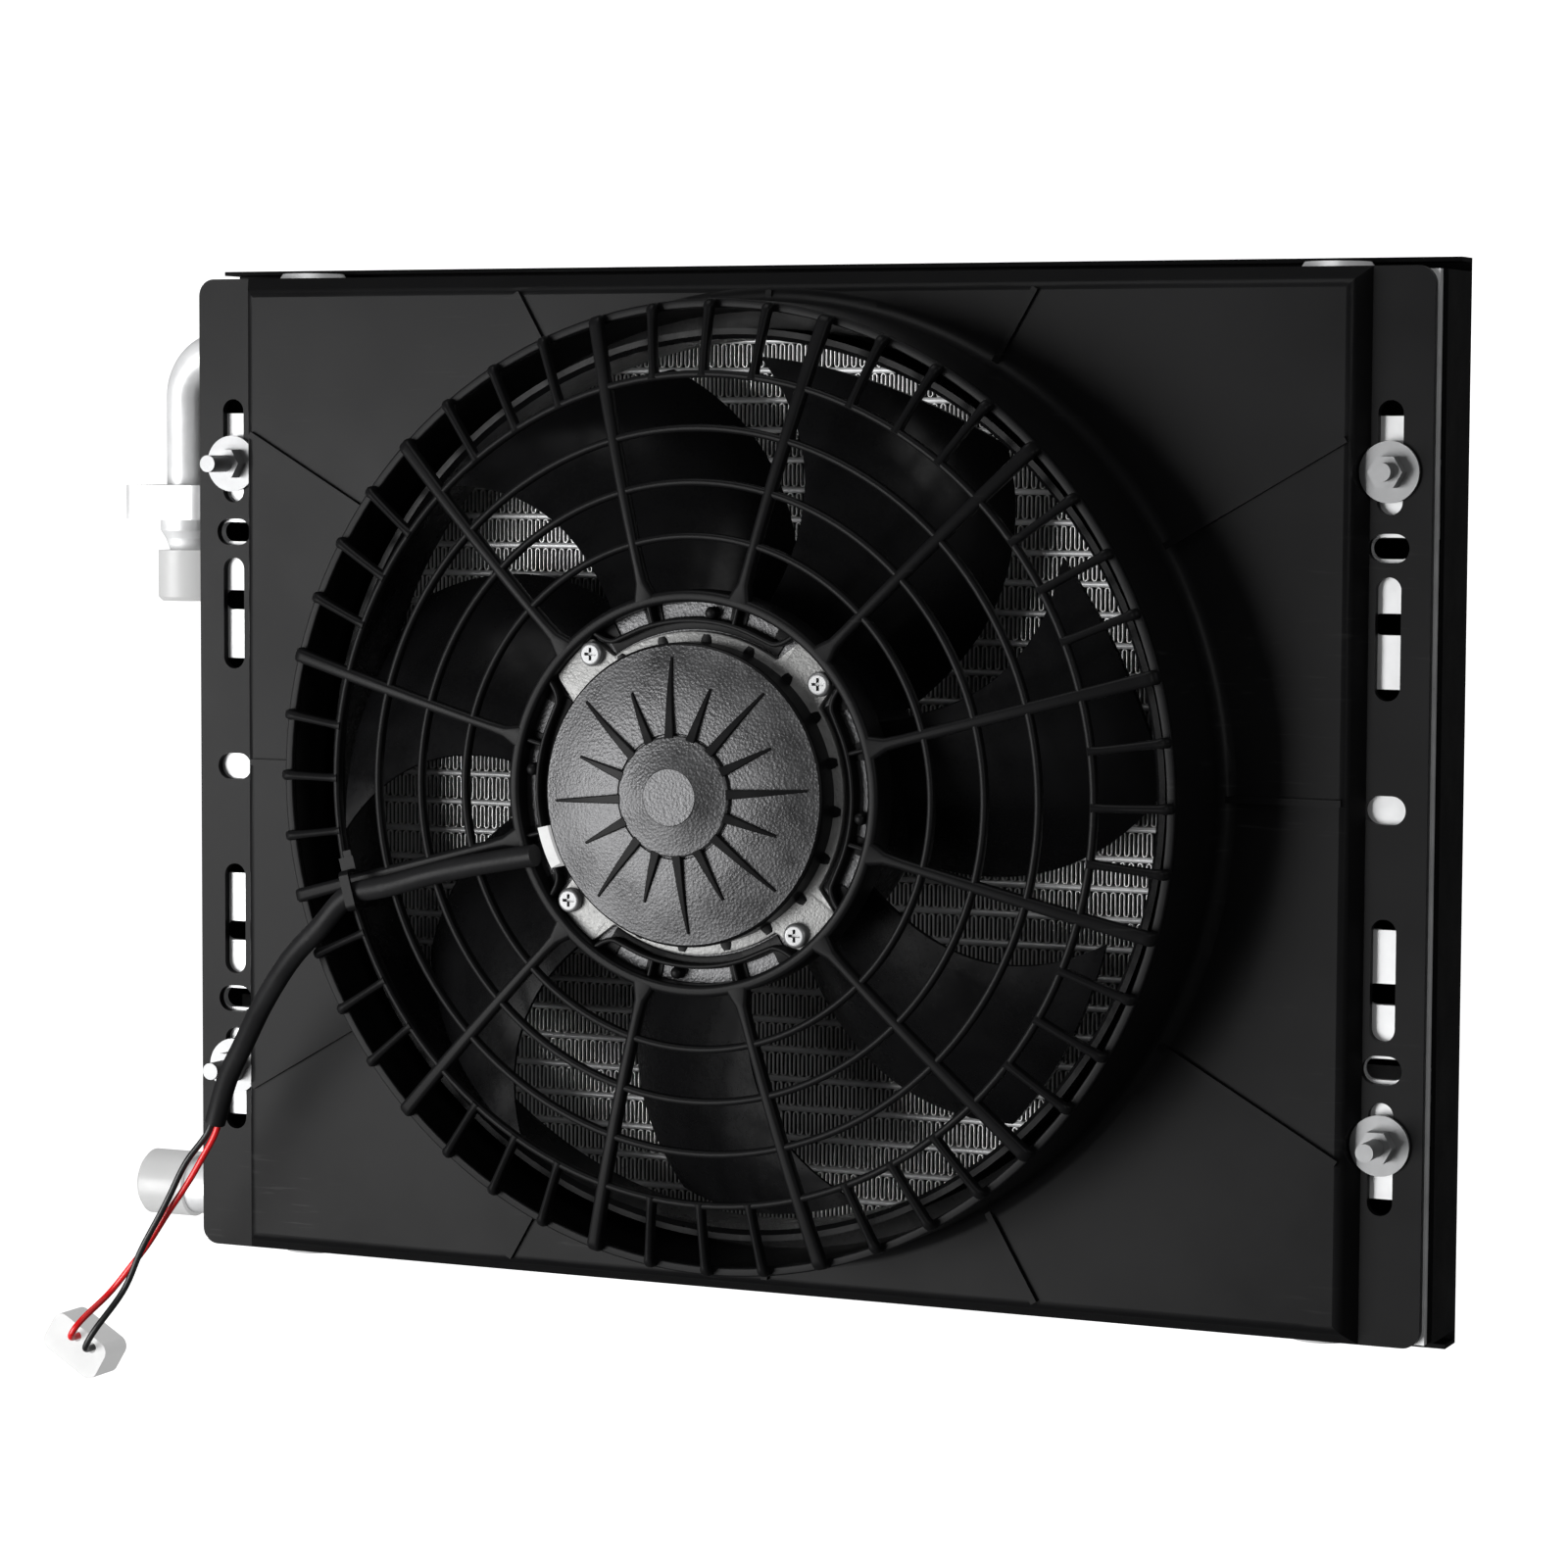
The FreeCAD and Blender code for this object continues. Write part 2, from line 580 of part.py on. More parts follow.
def make_guard():
    """Finger guard: hub band, four rings, twelve spokes, rim ribs and the motor seat."""
    body = fan_body("Guard")
    turn_profile(body, [
        ("hub_rad - hub_band", "lug_back"), ("hub_rad", "lug_back"), ("hub_rad", "hub_front - 0.8"),
        ("hub_rad - 0.8", "hub_front"), ("hub_rad - hub_band + 0.8", "hub_front"),
        ("hub_rad - hub_band", "hub_front - 0.8")])
    turn_profile(body, [
        ("seat_rad", "seat_back"), ("hub_rad - hub_band + 0.1", "seat_back"),
        ("hub_rad - hub_band + 0.1", "seat_front"), ("seat_rad", "seat_front")])

    first_ear = 90 - size_of("screw_clock - ear_lag")
    notch = turn_profile(body, [
        ("seat_rad - 2", "seat_back"), ("ear_rad + 0.4", "seat_back"),
        ("ear_rad + 0.4", "hub_front + 1"), ("seat_rad - 2", "hub_front + 1")],
        "Groove", clock=first_ear, angle="ear_span + 2")
    polar(body, notch, 4)
    lug = turn_profile(body, [
        ("seat_rad", "lug_back"), ("hub_rad - hub_band + 0.1", "lug_back"),
        ("hub_rad - hub_band + 0.1", "seat_back"), ("seat_rad", "seat_back")],
        clock=first_ear, angle="ear_span + 5")
    polar(body, lug, 4)

    for off_centre, span in ((-20, 11), (0, 19), (20, 11)):
        window = turn_profile(body, [
            ("seat_rad + 3.6", "seat_back - 0.5"), ("hub_rad - hub_band - 1.2", "seat_back - 0.5"),
            ("hub_rad - hub_band - 1.2", "seat_front + 0.5"), ("seat_rad + 3.6", "seat_front + 0.5")],
            "Groove", clock=84 + off_centre, angle=str(span))
        polar(body, window, 4)

    holes = new_sketch(body, lift="seat_back")
    for number in range(4):
        x, y = clock_point("screw_pitch_rad", "screw_clock + %d" % (90 * number))
        add_circle(holes, x, y, "screw_rad")
    pocket(body, holes, "seat_back - lug_back")

    guard_rib(body, "hub_rad - hub_band + 0.5", "spoke_w", 15, 12)
    for number in range(4):
        radius = "inner_ring + (outer_ring - inner_ring) * %d / 3" % number
        top = "%s - 0.4" % guard_front(radius)
        inside, outside = "%s - guard_ring_w / 2" % radius, "%s + guard_ring_w / 2" % radius
        turn_profile(body, [
            (inside, "%s - guard_ring_deep" % top), (outside, "%s - guard_ring_deep" % top),
            (outside, top), (inside, top)])
    turn_profile(body, [
        ("collar_rad - collar_wall", "collar_front"), ("collar_rad", "collar_front"),
        ("collar_rad", "collar_front + 2"), ("collar_rad - collar_wall", "collar_front + 2")])
    guard_rib(body, "outer_ring", "rim_rib_w", 0, 48)
    return keep(body, "fan_guard")


# ---------------------------------------------------------------- motor

def make_motor_plate():
    """Cast front plate with four ears, resting on the guard's lugs."""
    body = fan_body("MotorPlate")
    opening = "can_rad - 6"
    turn_profile(body, [
        (opening, "seat_back"), ("plate_rad", "seat_back"), ("plate_rad", "plate_front - 0.6"),
        ("plate_rad - 0.6", "plate_front"), (opening, "plate_front")])
    ear = turn_profile(body, [
        ("plate_rad - 5", "seat_back"), ("ear_rad", "seat_back"), ("ear_rad", "plate_front - 0.6"),
        ("ear_rad - 0.6", "plate_front"), ("plate_rad - 5", "plate_front")],
        clock=90 - size_of("screw_clock - ear_lag"), angle="ear_span")
    polar(body, ear, 4)
    holes = new_sketch(body, lift="plate_front")
    for number in range(4):
        x, y = clock_point("screw_pitch_rad", "screw_clock + %d" % (90 * number))
        add_circle(holes, x, y, "screw_rad + 0.6")
    pocket(body, holes, "plate_front - seat_back")
    dimple = new_sketch(body, lift="plate_front")
    add_circle(dimple, "0", "cover_rad + 1.2", "1.1")
    polar(body, pocket(body, dimple, "1.6"), 20)
    return keep(body, "motor_mounting_plate")


def make_motor_cover():
    """Stepped cover over the brush gear, with sixteen shallow radial ribs."""
    body = fan_body("MotorCover")
    turn_profile(body, [
        ("cover_rad - 3", "plate_front"), ("cover_rad", "plate_front"), ("cover_rad", "cover_front - 1.2"),
        ("via", "cover_rad - 0.35", "cover_front - 0.35"), ("cover_rad - 1.2", "cover_front"),
        ("via", "(cover_rad + boss_rad) / 2", "(cover_front + boss_front) / 2 + 0.8"),
        ("boss_rad + 0.4", "boss_front - 1.2"), ("boss_rad", "boss_front - 0.6"),
        ("boss_rad - 0.8", "boss_front"), ("cap_rad + 2", "boss_front + 1"),
        ("cap_rad", "cap_front - 0.4"), ("cap_rad - 0.6", "cap_front"), ("0", "cap_front"),
        ("0", "boss_front - 2.4"), ("bush_rad", "boss_front - 2.4"), ("bush_rad", "boss_front - 9"),
        ("bush_rad + 2.5", "boss_front - 9"), ("bush_rad + 2.5", "boss_front - 4.5"),
        ("boss_rad - 3", "boss_front - 4.5"), ("cover_rad - 3", "cover_front - 4")])
    doc.recompute()
    long_rib = cover_rib(body, "cover_rad - 4.5", 4)
    polar(body, long_rib, 8)
    short_rib = cover_rib(body, "cover_rad - 12.5", 26.5)
    polar(body, short_rib, 8)
    return keep(body, "motor_end_cover")


def cover_rib(body, reach, clock):
    """One rib lying on the cover's slope, in the plane through the fan axis."""
    start = "boss_rad + 0.6"
    slope = "(boss_front - cover_front - 0.8) / (cover_rad - boss_rad)"
    top = "boss_front - 0.1"
    end = "boss_front + 0.2 - (%s) * (%s - boss_rad)" % (slope, reach)
    sketch = new_sketch(body, "XZ_Plane", clock=clock)
    add_outline(sketch, [
        (start, "%s - 2" % top), (reach, "%s - 1.2" % end), (reach, end), (start, "%s + 0.2" % top)])
    return pad(body, sketch, "1.8", Midplane=True)


def make_motor_can():
    """Steel can behind the guard, with the flange that the motor screws pull up."""
    body = fan_body("MotorCan")
    inside = "can_rad - can_wall"
    turn_profile(body, [
        ("bush_rad", "can_back - 4"), ("bush_rad + 3", "can_back - 4"), ("bush_rad + 3", "can_back"),
        ("can_rad - 3", "can_back"), ("via", "can_rad - 0.9", "can_back + 0.9"), ("can_rad", "can_back + 3"),
        ("can_rad", "lug_back - 3"), ("ear_rad", "lug_back - 3"), ("ear_rad", "lug_back"),
        ("can_rad", "lug_back"), ("can_rad", "seat_back"), (inside, "seat_back"),
        (inside, "can_back + can_wall"), ("bush_rad", "can_back + can_wall")])
    holes = new_sketch(body, lift="lug_back")
    for number in range(4):
        x, y = clock_point("screw_pitch_rad", "screw_clock + %d" % (90 * number))
        add_circle(holes, x, y, "screw_rad")
    pocket(body, holes, "3")
    return keep(body, "motor_can")


def make_motor_screws():
    """Four cross-head screws through plate, guard lugs and can flange."""
    body = fan_body("MotorScrews")
    x, y = clock_point("screw_pitch_rad", "screw_clock")
    top = "plate_front + screw_head_tall"
    head = new_sketch(body, lift="plate_front")
    add_circle(head, x, y, "screw_head_rad")
    pad(body, head, "screw_head_tall")
    round_edges(body, "screw_head_tall / 2", flat_at(size_of(top)))
    shank = new_sketch(body, lift="plate_front")
    add_circle(shank, x, y, "screw_rad")
    pad(body, shank, "plate_front - lug_back + 3", Reversed=True)
    recess = new_sketch(body, lift=top)
    far, near = 2.1, 0.5
    quarter = [(far, -near), (far, near), (near, near)]
    corners = []
    for dx, dy in quarter + [(-b, a) for a, b in quarter] + [(-a, -b) for a, b in quarter]:
        corners.append(("%s + (%s)" % (x, dx), "%s + (%s)" % (y, dy)))
    for dx, dy in [(b, -a) for a, b in quarter]:
        corners.append(("%s + (%s)" % (x, dx), "%s + (%s)" % (y, dy)))
    add_outline(recess, corners)
    pocket(body, recess, "1.4")
    doc.recompute()
    one = body.Tip.Shape
    screws = doc.addObject("Part::Feature", "ScrewSet")
    axis = Vector(0, 0, 1)
    screws.Shape = Part.makeCompound([one.rotated(Vector(0, 0, 0), axis, 90 * n) for n in range(4)])
    place(screws, (0, 0, "fan_height"), FACING)
    return keep(screws, "motor_screws")


def make_motor_insides():
    """Bushes, magnets, brush gear, armature and shaft."""
    bushes = (("FrontBush", "front_bush", "boss_front - 8.4"), ("RearBush", "rear_bush", "can_back - 4"))
    for name, label, back in bushes:
        body = fan_body(name)
        bore = "shaft_rad + shaft_gap"
        turn_profile(body, [
            (bore, back), ("bush_rad", back), ("bush_rad", "%s + 6" % back), (bore, "%s + 6" % back)])
        keep(body, label)

    body = fan_body("Magnets", several=True)
    inside, outside = "core_rad + 1.2", "can_rad - can_wall"
    magnet = turn_profile(body, [
        (inside, "can_back + 5"), (outside, "can_back + 5"), (outside, "lug_back - 2"),
        (inside, "lug_back - 2")], clock=45, angle=72)
    polar(body, magnet, 4)
    keep(body, "motor_magnets")

    body = fan_body("BrushHolder")
    turn_profile(body, [
        ("commutator_rad + 2", "seat_back + 1"), ("can_rad - 6", "seat_back + 1"),
        ("can_rad - 6", "seat_back + 3.5"), ("commutator_rad + 2", "seat_back + 3.5")])
    for side in (-1, 1):
        guide = new_sketch(body, lift="seat_back + 3")
        add_rectangle(guide, "%d * (commutator_rad + 10)" % side, "0", "14", "11")
        pad(body, guide, "10")
        channel = new_sketch(body, lift="seat_back + 12")
        add_rectangle(channel, "%d * (commutator_rad + 10)" % side, "0", "15", "6.2")
        pocket(body, channel, "8.2")
    keep(body, "brush_holder")

    brushes = []
    for side in (-1, 1):
        middle = "%d * (commutator_rad + 7.1)" % side
        brushes.append(block("Brush", "14", "8", "6", (
            "%s - 7" % middle, "0 - seat_back - 12", "fan_height - 3")))
    keep(group("Brushes", brushes), "brushes")

    shaft = cylinder("Shaft", "shaft_rad", "boss_front - 2", (0, "0.5", "fan_height"), FACING)
    keep(shaft, "motor_shaft")

    body = fan_body("Armature")
    turn_profile(body, [
        ("shaft_rad", "can_back + 8"), ("core_rad", "can_back + 8"),
        ("core_rad", "lug_back - 4"), ("shaft_rad", "lug_back - 4")])
    slot = new_sketch(body, lift="lug_back - 4")
    add_rectangle(slot, "0", "core_rad - 5", "3.5", "11")
    polar(body, pocket(body, slot, "lug_back - can_back - 12"), 12)
    keep(body, "armature_core")

    coils = []
    for back, tall in (("can_back + 4", "4"), ("lug_back - 4", "4")):
        ring = cylinder("Coil", "core_rad - 5", tall, (0, "0 - (%s)" % back, "fan_height"), FACING)
        bore = cylinder("CoilBore", "shaft_rad", tall, (0, "0 - (%s)" % back, "fan_height"), FACING)
        coils.append(cut("CoilRing", ring, bore))
    keep(group("Coils", coils), "armature_windings")

    body = fan_body("Commutator")
    turn_profile(body, [
        ("shaft_rad", "seat_back"), ("commutator_rad", "seat_back"),
        ("commutator_rad", "boss_front - 10"), ("shaft_rad", "boss_front - 10")])
    gap = new_sketch(body, lift="boss_front - 10")
    add_rectangle(gap, "0", "commutator_rad", "0.8", "3")
    polar(body, pocket(body, gap, "boss_front - 10 - seat_back"), 12)
    keep(body, "commutator")


# ---------------------------------------------------------------- impeller

def blade_section(radius, share):
    """A closed thin cambered section on a plane at a distance from the fan axis.

    share runs from 0 at the hub to 1 at the tip: the chord grows, the pitch flattens
    and the blade sweeps forward.
    """
    chord = size_of("root_chord") * (1 - share) + size_of("tip_chord") * share
    pitch = math.radians(size_of("root_pitch") * (1 - share) + size_of("tip_pitch") * share)
    sweep = -8 * share + 30 * share * share
    camber = 4 + 3 * share
    thick = size_of("blade_thk")
    middle_height = size_of("blade_mid")
    upper, lower = [], []
    for number in range(7):
        along = number / 6 - 0.5
        bulge = camber * (1 - 4 * along * along)
        skin = 0.5 * thick * (1 - 2.4 * along * along)
        for side, points in ((1, upper), (-1, lower)):
            across = along * chord * math.cos(pitch) - (bulge + side * skin) * math.sin(pitch)
            height = middle_height + along * chord * math.sin(pitch) + (bulge + side * skin) * math.cos(pitch)
            points.append(Vector(radius, across, height))
    top = Part.BSplineCurve()
    top.interpolate(upper)
    bottom = Part.BSplineCurve()
    bottom.interpolate(lower[::-1])
    section = Part.Wire([
        top.toShape(), Part.makeLine(upper[-1], lower[-1]),
        bottom.toShape(), Part.makeLine(lower[0], upper[0])])
    return section.rotated(Vector(0, 0, 0), Vector(0, 0, 1), sweep)


def make_impeller():
    """Hub cup over the motor can, with swept curved blades."""
    cup = fan_body("Cup")
    bore = "shaft_rad"
    inside = "cup_rad - cup_wall"
    turn_profile(cup, [
        (bore, "cup_back - 4"), ("14", "cup_back - 4"), ("15", "cup_back - 1"),
        ("cup_rad - 5", "cup_back - 1"), ("via", "cup_rad - 1.4", "cup_back + 0.6"),
        ("cup_rad", "cup_back + 4"), ("cup_rad", "cup_front"), (inside, "cup_front"),
        (inside, "cup_back + 4"), ("cup_rad - 5", "cup_back + 1.6"), (bore, "cup_back + 1.6")])
    doc.recompute()
    root, tip = size_of("cup_rad - 10"), size_of("tip_rad + 4")
    steps = 5
    sections = []
    for number in range(steps):
        share = number / (steps - 1)
        sections.append(blade_section(root + (tip - root) * share, share))
    sweep_zone = Part.makeCylinder(size_of("tip_rad"), 60).cut(Part.makeCylinder(size_of("cup_rad - 1"), 60))
    blade = Part.makeLoft(sections, True).common(sweep_zone)
    around = [
        blade.rotated(Vector(0, 0, 0), Vector(0, 0, 1), 360 * n / size_of("blade_count"))
        for n in range(int(size_of("blade_count")))]
    impeller = doc.addObject("Part::Feature", "Impeller")
    impeller.Shape = cup.Tip.Shape.fuse(around)
    place(impeller, (0, 0, "fan_height"), FACING)
    keep(impeller, "fan_impeller")

    washer = cut(
        "HubWasher",
        cylinder("HubWasherDisc", "8", "1.6", (0, "0 - cup_back + 5.6", "fan_height"), FACING),
        cylinder("HubWasherBore", "shaft_rad", "1.6", (0, "0 - cup_back + 5.6", "fan_height"), FACING))
    keep(washer, "hub_washer")
    nut = cut(
        "HubNut",
        prism("HubNutHex", "13", "5.8", (0, "0 - cup_back + 11.4", "fan_height"), FACING),
        cylinder("HubNutBore", "shaft_rad", "5.8", (0, "0 - cup_back + 11.4", "fan_height"), FACING))
    keep(nut, "hub_nut")


# ---------------------------------------------------------------- cable

def spline(points):
    """A smooth curve through points."""
    path = Part.BSplineCurve()
    path.interpolate([Vector(*[size_of(part) for part in point]) for point in points])
    return path


def thread(path, radius, spacing=1.6, ruled=False):
    """A round rod along a curve, lofted through rings that are spaced in radii and don't twist."""
    radius = size_of(radius)
    count = int(path.length() / (spacing * radius))
    upright, rings = Vector(0, 1, 0), []
    for number in range(count + 1):
        share = number / count
        spot = path.FirstParameter + (path.LastParameter - path.FirstParameter) * share
        ahead = path.tangent(spot)[0]
        upright = (upright - ahead * upright.dot(ahead)).normalize()
        ring = Part.Circle(path.value(spot), ahead, radius)
        ring.XAxis = upright
        rings.append(Part.Wire([ring.toShape()]))
    return Part.makeLoft(rings, True, ruled)


def spoke_point(radius, stand_off, aside="0"):
    """A point in front of the guard by its cable spoke, moved aside to the spoke's lower flank."""
    along_x, along_z = clock_point(radius, CABLE_CLOCK)
    aside_x, aside_z = clock_point(aside, CABLE_CLOCK - 90)
    depth = "0 - (%s) - (%s)" % (guard_front(radius), stand_off)
    return "%s + %s" % (along_x, aside_x), depth, "%s + %s + fan_height" % (along_z, aside_z)


def make_sleeve():
    """Sleeve beside a spoke and down past the rim, hollow at its lower end."""
    off = "sleeve_dia / 2 + 0.1"
    on_spoke = [spoke_point("seat_rad + 4.3", off + " + 0.5", "7.1")]
    beside_spoke = (
        ("67.6", "6.3"), ("85", "5.1"), ("103", "4.6"), ("123", "cable_aside"), ("135.5", "cable_aside"))
    on_spoke += [spoke_point(radius, off, aside) for radius, aside in beside_spoke]
    hanging = [
        (-140.3, -65.4, -46.8), (-151.9, -62.7, -57), (-164.8, -57.5, -70.3), (-175.4, -51.5, -82.6),
        (-185.4, -45.5, -95.6), (-192.9, -41.5, -105.8), (-198.6, -38, -116.6), (-201.7, -36.5, -124)]
    path = spline(on_spoke + hanging)
    end, ahead = path.value(path.LastParameter), path.tangent(path.LastParameter)[0]
    socket_deep = 8
    socket = Part.makeCylinder(size_of("sleeve_bore / 2"), socket_deep + 1, end - ahead * socket_deep, ahead)
    sleeve = doc.addObject("Part::Feature", "Sleeve")
    sleeve.Shape = thread(path, "sleeve_dia / 2").cut(socket)
    keep(sleeve, "cable_sleeve")
    return end, ahead


def turn_in(entry, heading, angle):
    """A point on the bend that leads into the connector's front, this many degrees before its end."""
    bend, start = 3, 9.5
    forward = start + bend * math.sin(math.radians(angle))
    return entry + Vector(0, -forward, 0) - heading * (bend * (1 - math.cos(math.radians(angle))))


def make_cable():
    """Grommet, sleeve, two crossing leads and a two-way connector."""
    sleeve_end, ahead = make_sleeve()
    beside = Vector(0, -1, 0).cross(ahead).normalize()
    if beside.x > 0:
        beside = -beside
    tilt = Rotation(Vector(0, 1, 0), size_of("plug_tilt"))
    heart = Vector(size_of("plug_x"), size_of("plug_y"), size_of("plug_z"))
    hanging = {
        "red_lead": (1, [
            (-206, -36, -135), (-213, -36, -146), (-222.5, -36, -159), (-231, -36, -171), (-238, -36.4, -179.5),
            (-246, -38.5, -189.5)]),
        "black_lead": (-1, [
            (-211.7, -37.5, -137), (-218.5, -39, -150), (-225.3, -40.2, -162.8), (-231, -41, -173.5),
            (-236, -42, -185)]),
    }
    for label, (side, points) in hanging.items():
        offset = beside * (-side * size_of("lead_apart"))
        from_sleeve = [sleeve_end + offset + ahead * along for along in (-4, -1, 2)]
        entry = heart + tilt.multVec(Vector(size_of("2.6 - %d * lead_pitch / 2" % side), 0, 3.7))
        heading = entry - Vector(*points[-1])
        heading = Vector(heading.x, 0, heading.z).normalize()
        to_plug = [turn_in(entry, heading, angle) for angle in (90, 60, 30)]
        to_plug += [entry + Vector(0, -out, 0) for out in (9.5, 7, 4.5, 2.4)]
        run = [tuple(spot) for spot in from_sleeve] + points + [tuple(spot) for spot in to_plug]
        lead = doc.addObject("Part::Feature", label + "_rod")
        lead.Shape = thread(spline(run), "wire_dia / 2", spacing=0.7, ruled=True)
        keep(lead, label)
    make_connector(tilt)
    grommet = fan_body("Grommet")
    turn_profile(grommet, [
        ("cover_rad + 0.2", "plate_front"), ("cover_rad + 4", "plate_front"),
        ("cover_rad + 4", "cover_front + 0.5"), ("cover_rad + 0.2", "cover_front + 0.5")],
        clock=size_of("90 - grommet_clock"), angle="grommet_span")
    keep(grommet, "cable_grommet")


def make_connector(tilt):
    """Two-way housing with rounded corners and a terminal in each cell."""
    shell = bind(
        doc.addObject("Part::Box", "PlugShell"), Length="plug_w", Width="plug_deep", Height="plug_tall")
    place(shell, ("0 - plug_w / 2", "0 - plug_deep / 2", "0 - plug_tall / 2"))
    rounded = doc.addObject("Part::Fillet", "PlugRound")
    doc.recompute()
    rounded.Base = shell
    rounded.Edges = [
        (number + 1, 4, 4) for number, edge in enumerate(shell.Shape.Edges)
        if edge.BoundBox.YLength > size_of("plug_deep") - 0.1]
    hollows, pins = [], []
    backwards = Rotation(Vector(1, 0, 0), -90)
    for side in (-1, 1):
        x = "2.6 + %d * lead_pitch / 2" % side
        mouth = (x, "0 - plug_deep / 2 - 1", "3.7")
        hollows.append(cylinder("PlugBore", "wire_dia / 2 + 0.75", "plug_deep", mouth, backwards))
        hollows.append(block("PlugCell", "5", "plug_deep", "5", (x + " - 2.5", "0 - 1", "3.7 - 2.5")))
        pins.append(block("Pin", "3.6", "plug_deep / 2", "3.6", (x + " - 1.8", "0 - 1", "3.7 - 1.8")))
    heart = ("plug_x", "plug_y", "plug_z")
    plug = cut("Plug", rounded, join("PlugHoles", hollows))
    keep(place(plug, heart, tilt), "connector_housing")
    terminals = group("Terminals", pins)
    keep(place(terminals, heart, tilt), "connector_terminals")


def make_cable_tie():
    """A strap round the spoke and the sleeve, with its head on the spoke's upper side."""
    strap_w, strap_thk, slack = 3.6, 1.2, 0.6
    lowest = size_of("0 - cable_aside - sleeve_dia / 2") - slack
    highest = size_of("spoke_w / 2") + slack
    inside_w = highest - lowest
    inside_deep = size_of("sleeve_dia + rib_deep") + 1.2
    hole_at = Vector(lowest, -inside_deep, -strap_w / 2)
    wall = Vector(strap_thk, strap_thk, 0)
    outer = Part.makeBox(inside_w + 2 * strap_thk, inside_deep + 2 * strap_thk, strap_w, hole_at - wall)
    outer = outer.makeFillet(2, [edge for edge in outer.Edges if edge.BoundBox.ZLength > strap_w - 0.1])
    inner = Part.makeBox(inside_w, inside_deep, strap_w + 2, hole_at - Vector(0, 0, 1))
    inner = inner.makeFillet(1.5, [edge for edge in inner.Edges if edge.BoundBox.ZLength > strap_w])
    head = Part.makeBox(5, 4, 5.5, Vector(highest + 0.6, -inside_deep * 0.75, -2.75))
    tail = Part.makeBox(7, 1, 3, Vector(highest + 0.8, -inside_deep * 0.75 + 1.5, -1.5))
    tie = doc.addObject("Part::Feature", "CableTie")
    tie.Shape = outer.cut(inner).fuse(head).fuse(tail).removeSplitter()
    x, y, z = spoke_point("132.6", "0")
    spot = Vector(size_of(x), size_of(y) + size_of("rib_deep") + slack, size_of(z))
    tie.Placement = Placement(spot, Rotation(Vector(0, 1, 0), CABLE_CLOCK))
    return keep(tie, "cable_tie")


# ---------------------------------------------------------------- core

def make_headers():
    """Two round header tanks, slotted for the flat tubes, with caps and baffles."""
    for side, label in ((-1, "left_header"), (1, "right_header")):
        body = new_body("Header", ("%d * header_x" % side, "core_mid", 0))
        ring = new_sketch(body, lift="0 - header_tall / 2")
        add_circle(ring, "0", "0", "header_rad")
        add_circle(ring, "0", "0", "header_rad - header_wall")
        pad(body, ring, "header_tall")
        slot = new_sketch(body, "YZ_Plane")
        low = "0 - tube_pitch * (tube_count - 1) / 2"
        add_slot(slot, "0", low, "tube_deep", "tube_thk", False)
        first = pocket(body, slot, "header_rad + 2", Reversed=side < 0)
        row_of(body, first, "Z_Axis", "tube_pitch", "tube_count")
        if side < 0:
            port = new_sketch(body, "YZ_Plane")
            add_circle(port, "0", "inlet_z", "pipe_rad")
            add_circle(port, "0", "0 - outlet_z", "pipe_rad")
            pocket(body, port, "header_rad + 2")
        keep(body, label)

    caps, baffles = [], []
    for side in (-1, 1):
        for end in (-1, 1):
            cap = bind(
                doc.addObject("Part::Cone", "EndCap"),
                Radius1="header_rad + 0.4", Radius2="header_rad - 1.6", Height="end_cap_tall")
            turn = UPRIGHT if end > 0 else Rotation(Vector(1, 0, 0), 180)
            caps.append(place(cap, ("%d * header_x" % side, "core_mid", "%d * header_tall / 2" % end), turn))
        height = "%d * 4.5 * tube_pitch" % side
        baffles.append(cylinder(
            "Baffle", "header_rad - header_wall", "1.5", ("%d * header_x" % side, "core_mid", height)))
    keep(group("EndCaps", caps), "header_end_caps")
    keep(group("Baffles", baffles), "header_baffles")


def make_core():
    """Flat tubes between the headers, folded fins between the tubes, side plates outside."""
    body = new_body("Tubes", (0, "core_mid", "0 - tube_pitch * (tube_count - 1) / 2"), several=True)
    section = new_sketch(body, "YZ_Plane", lift="0 - header_x + header_rad / 4")
    add_slot(section, "0", "0", "tube_deep", "tube_thk", False)
    tube = pad(body, section, "2 * (header_x - header_rad / 4)")
    row_of(body, tube, "Z_Axis", "tube_pitch", "tube_count")
    keep(body, "flat_tubes")

    count = int(size_of("tube_count"))
    pitch, gap = size_of("tube_pitch"), size_of("tube_pitch - tube_thk")
    half_run = size_of("header_x - header_rad - 1")
    folds = int(2 * half_run / size_of("fin_pitch"))
    fold = 2 * half_run / folds
    thick = size_of("fin_thk")
    ribbon = fin_ribbon(half_run, fold, folds, gap - 0.04, thick)
    strip = ribbon.extrude(Vector(0, size_of("fin_deep"), 0))
    strip.translate(Vector(0, size_of("core_mid - fin_deep / 2"), 0))
    strips = []
    for number in range(count + 1):
        lifted = strip.copy()
        lifted.translate(Vector(0, 0, pitch * (number - count / 2)))
        strips.append(lifted)
    fins = doc.addObject("Part::Feature", "Fins")
    fins.Shape = Part.makeCompound(strips)
    keep(fins, "cooling_fins")

    for end, label in ((1, "top_side_plate"), (-1, "bottom_side_plate")):
        low = "%d * (tube_pitch * tube_count / 2 + tube_pitch / 2 - tube_thk / 2)" % end
        corner = low if end > 0 else "%s - side_plate_thk" % low
        half = "(header_x - header_rad)"
        plate = block(
            label + "_sheet", "2 * " + half, "tube_deep", "side_plate_thk",
            ("0 - " + half, "core_mid - tube_deep / 2", corner))
        keep(plate, label)


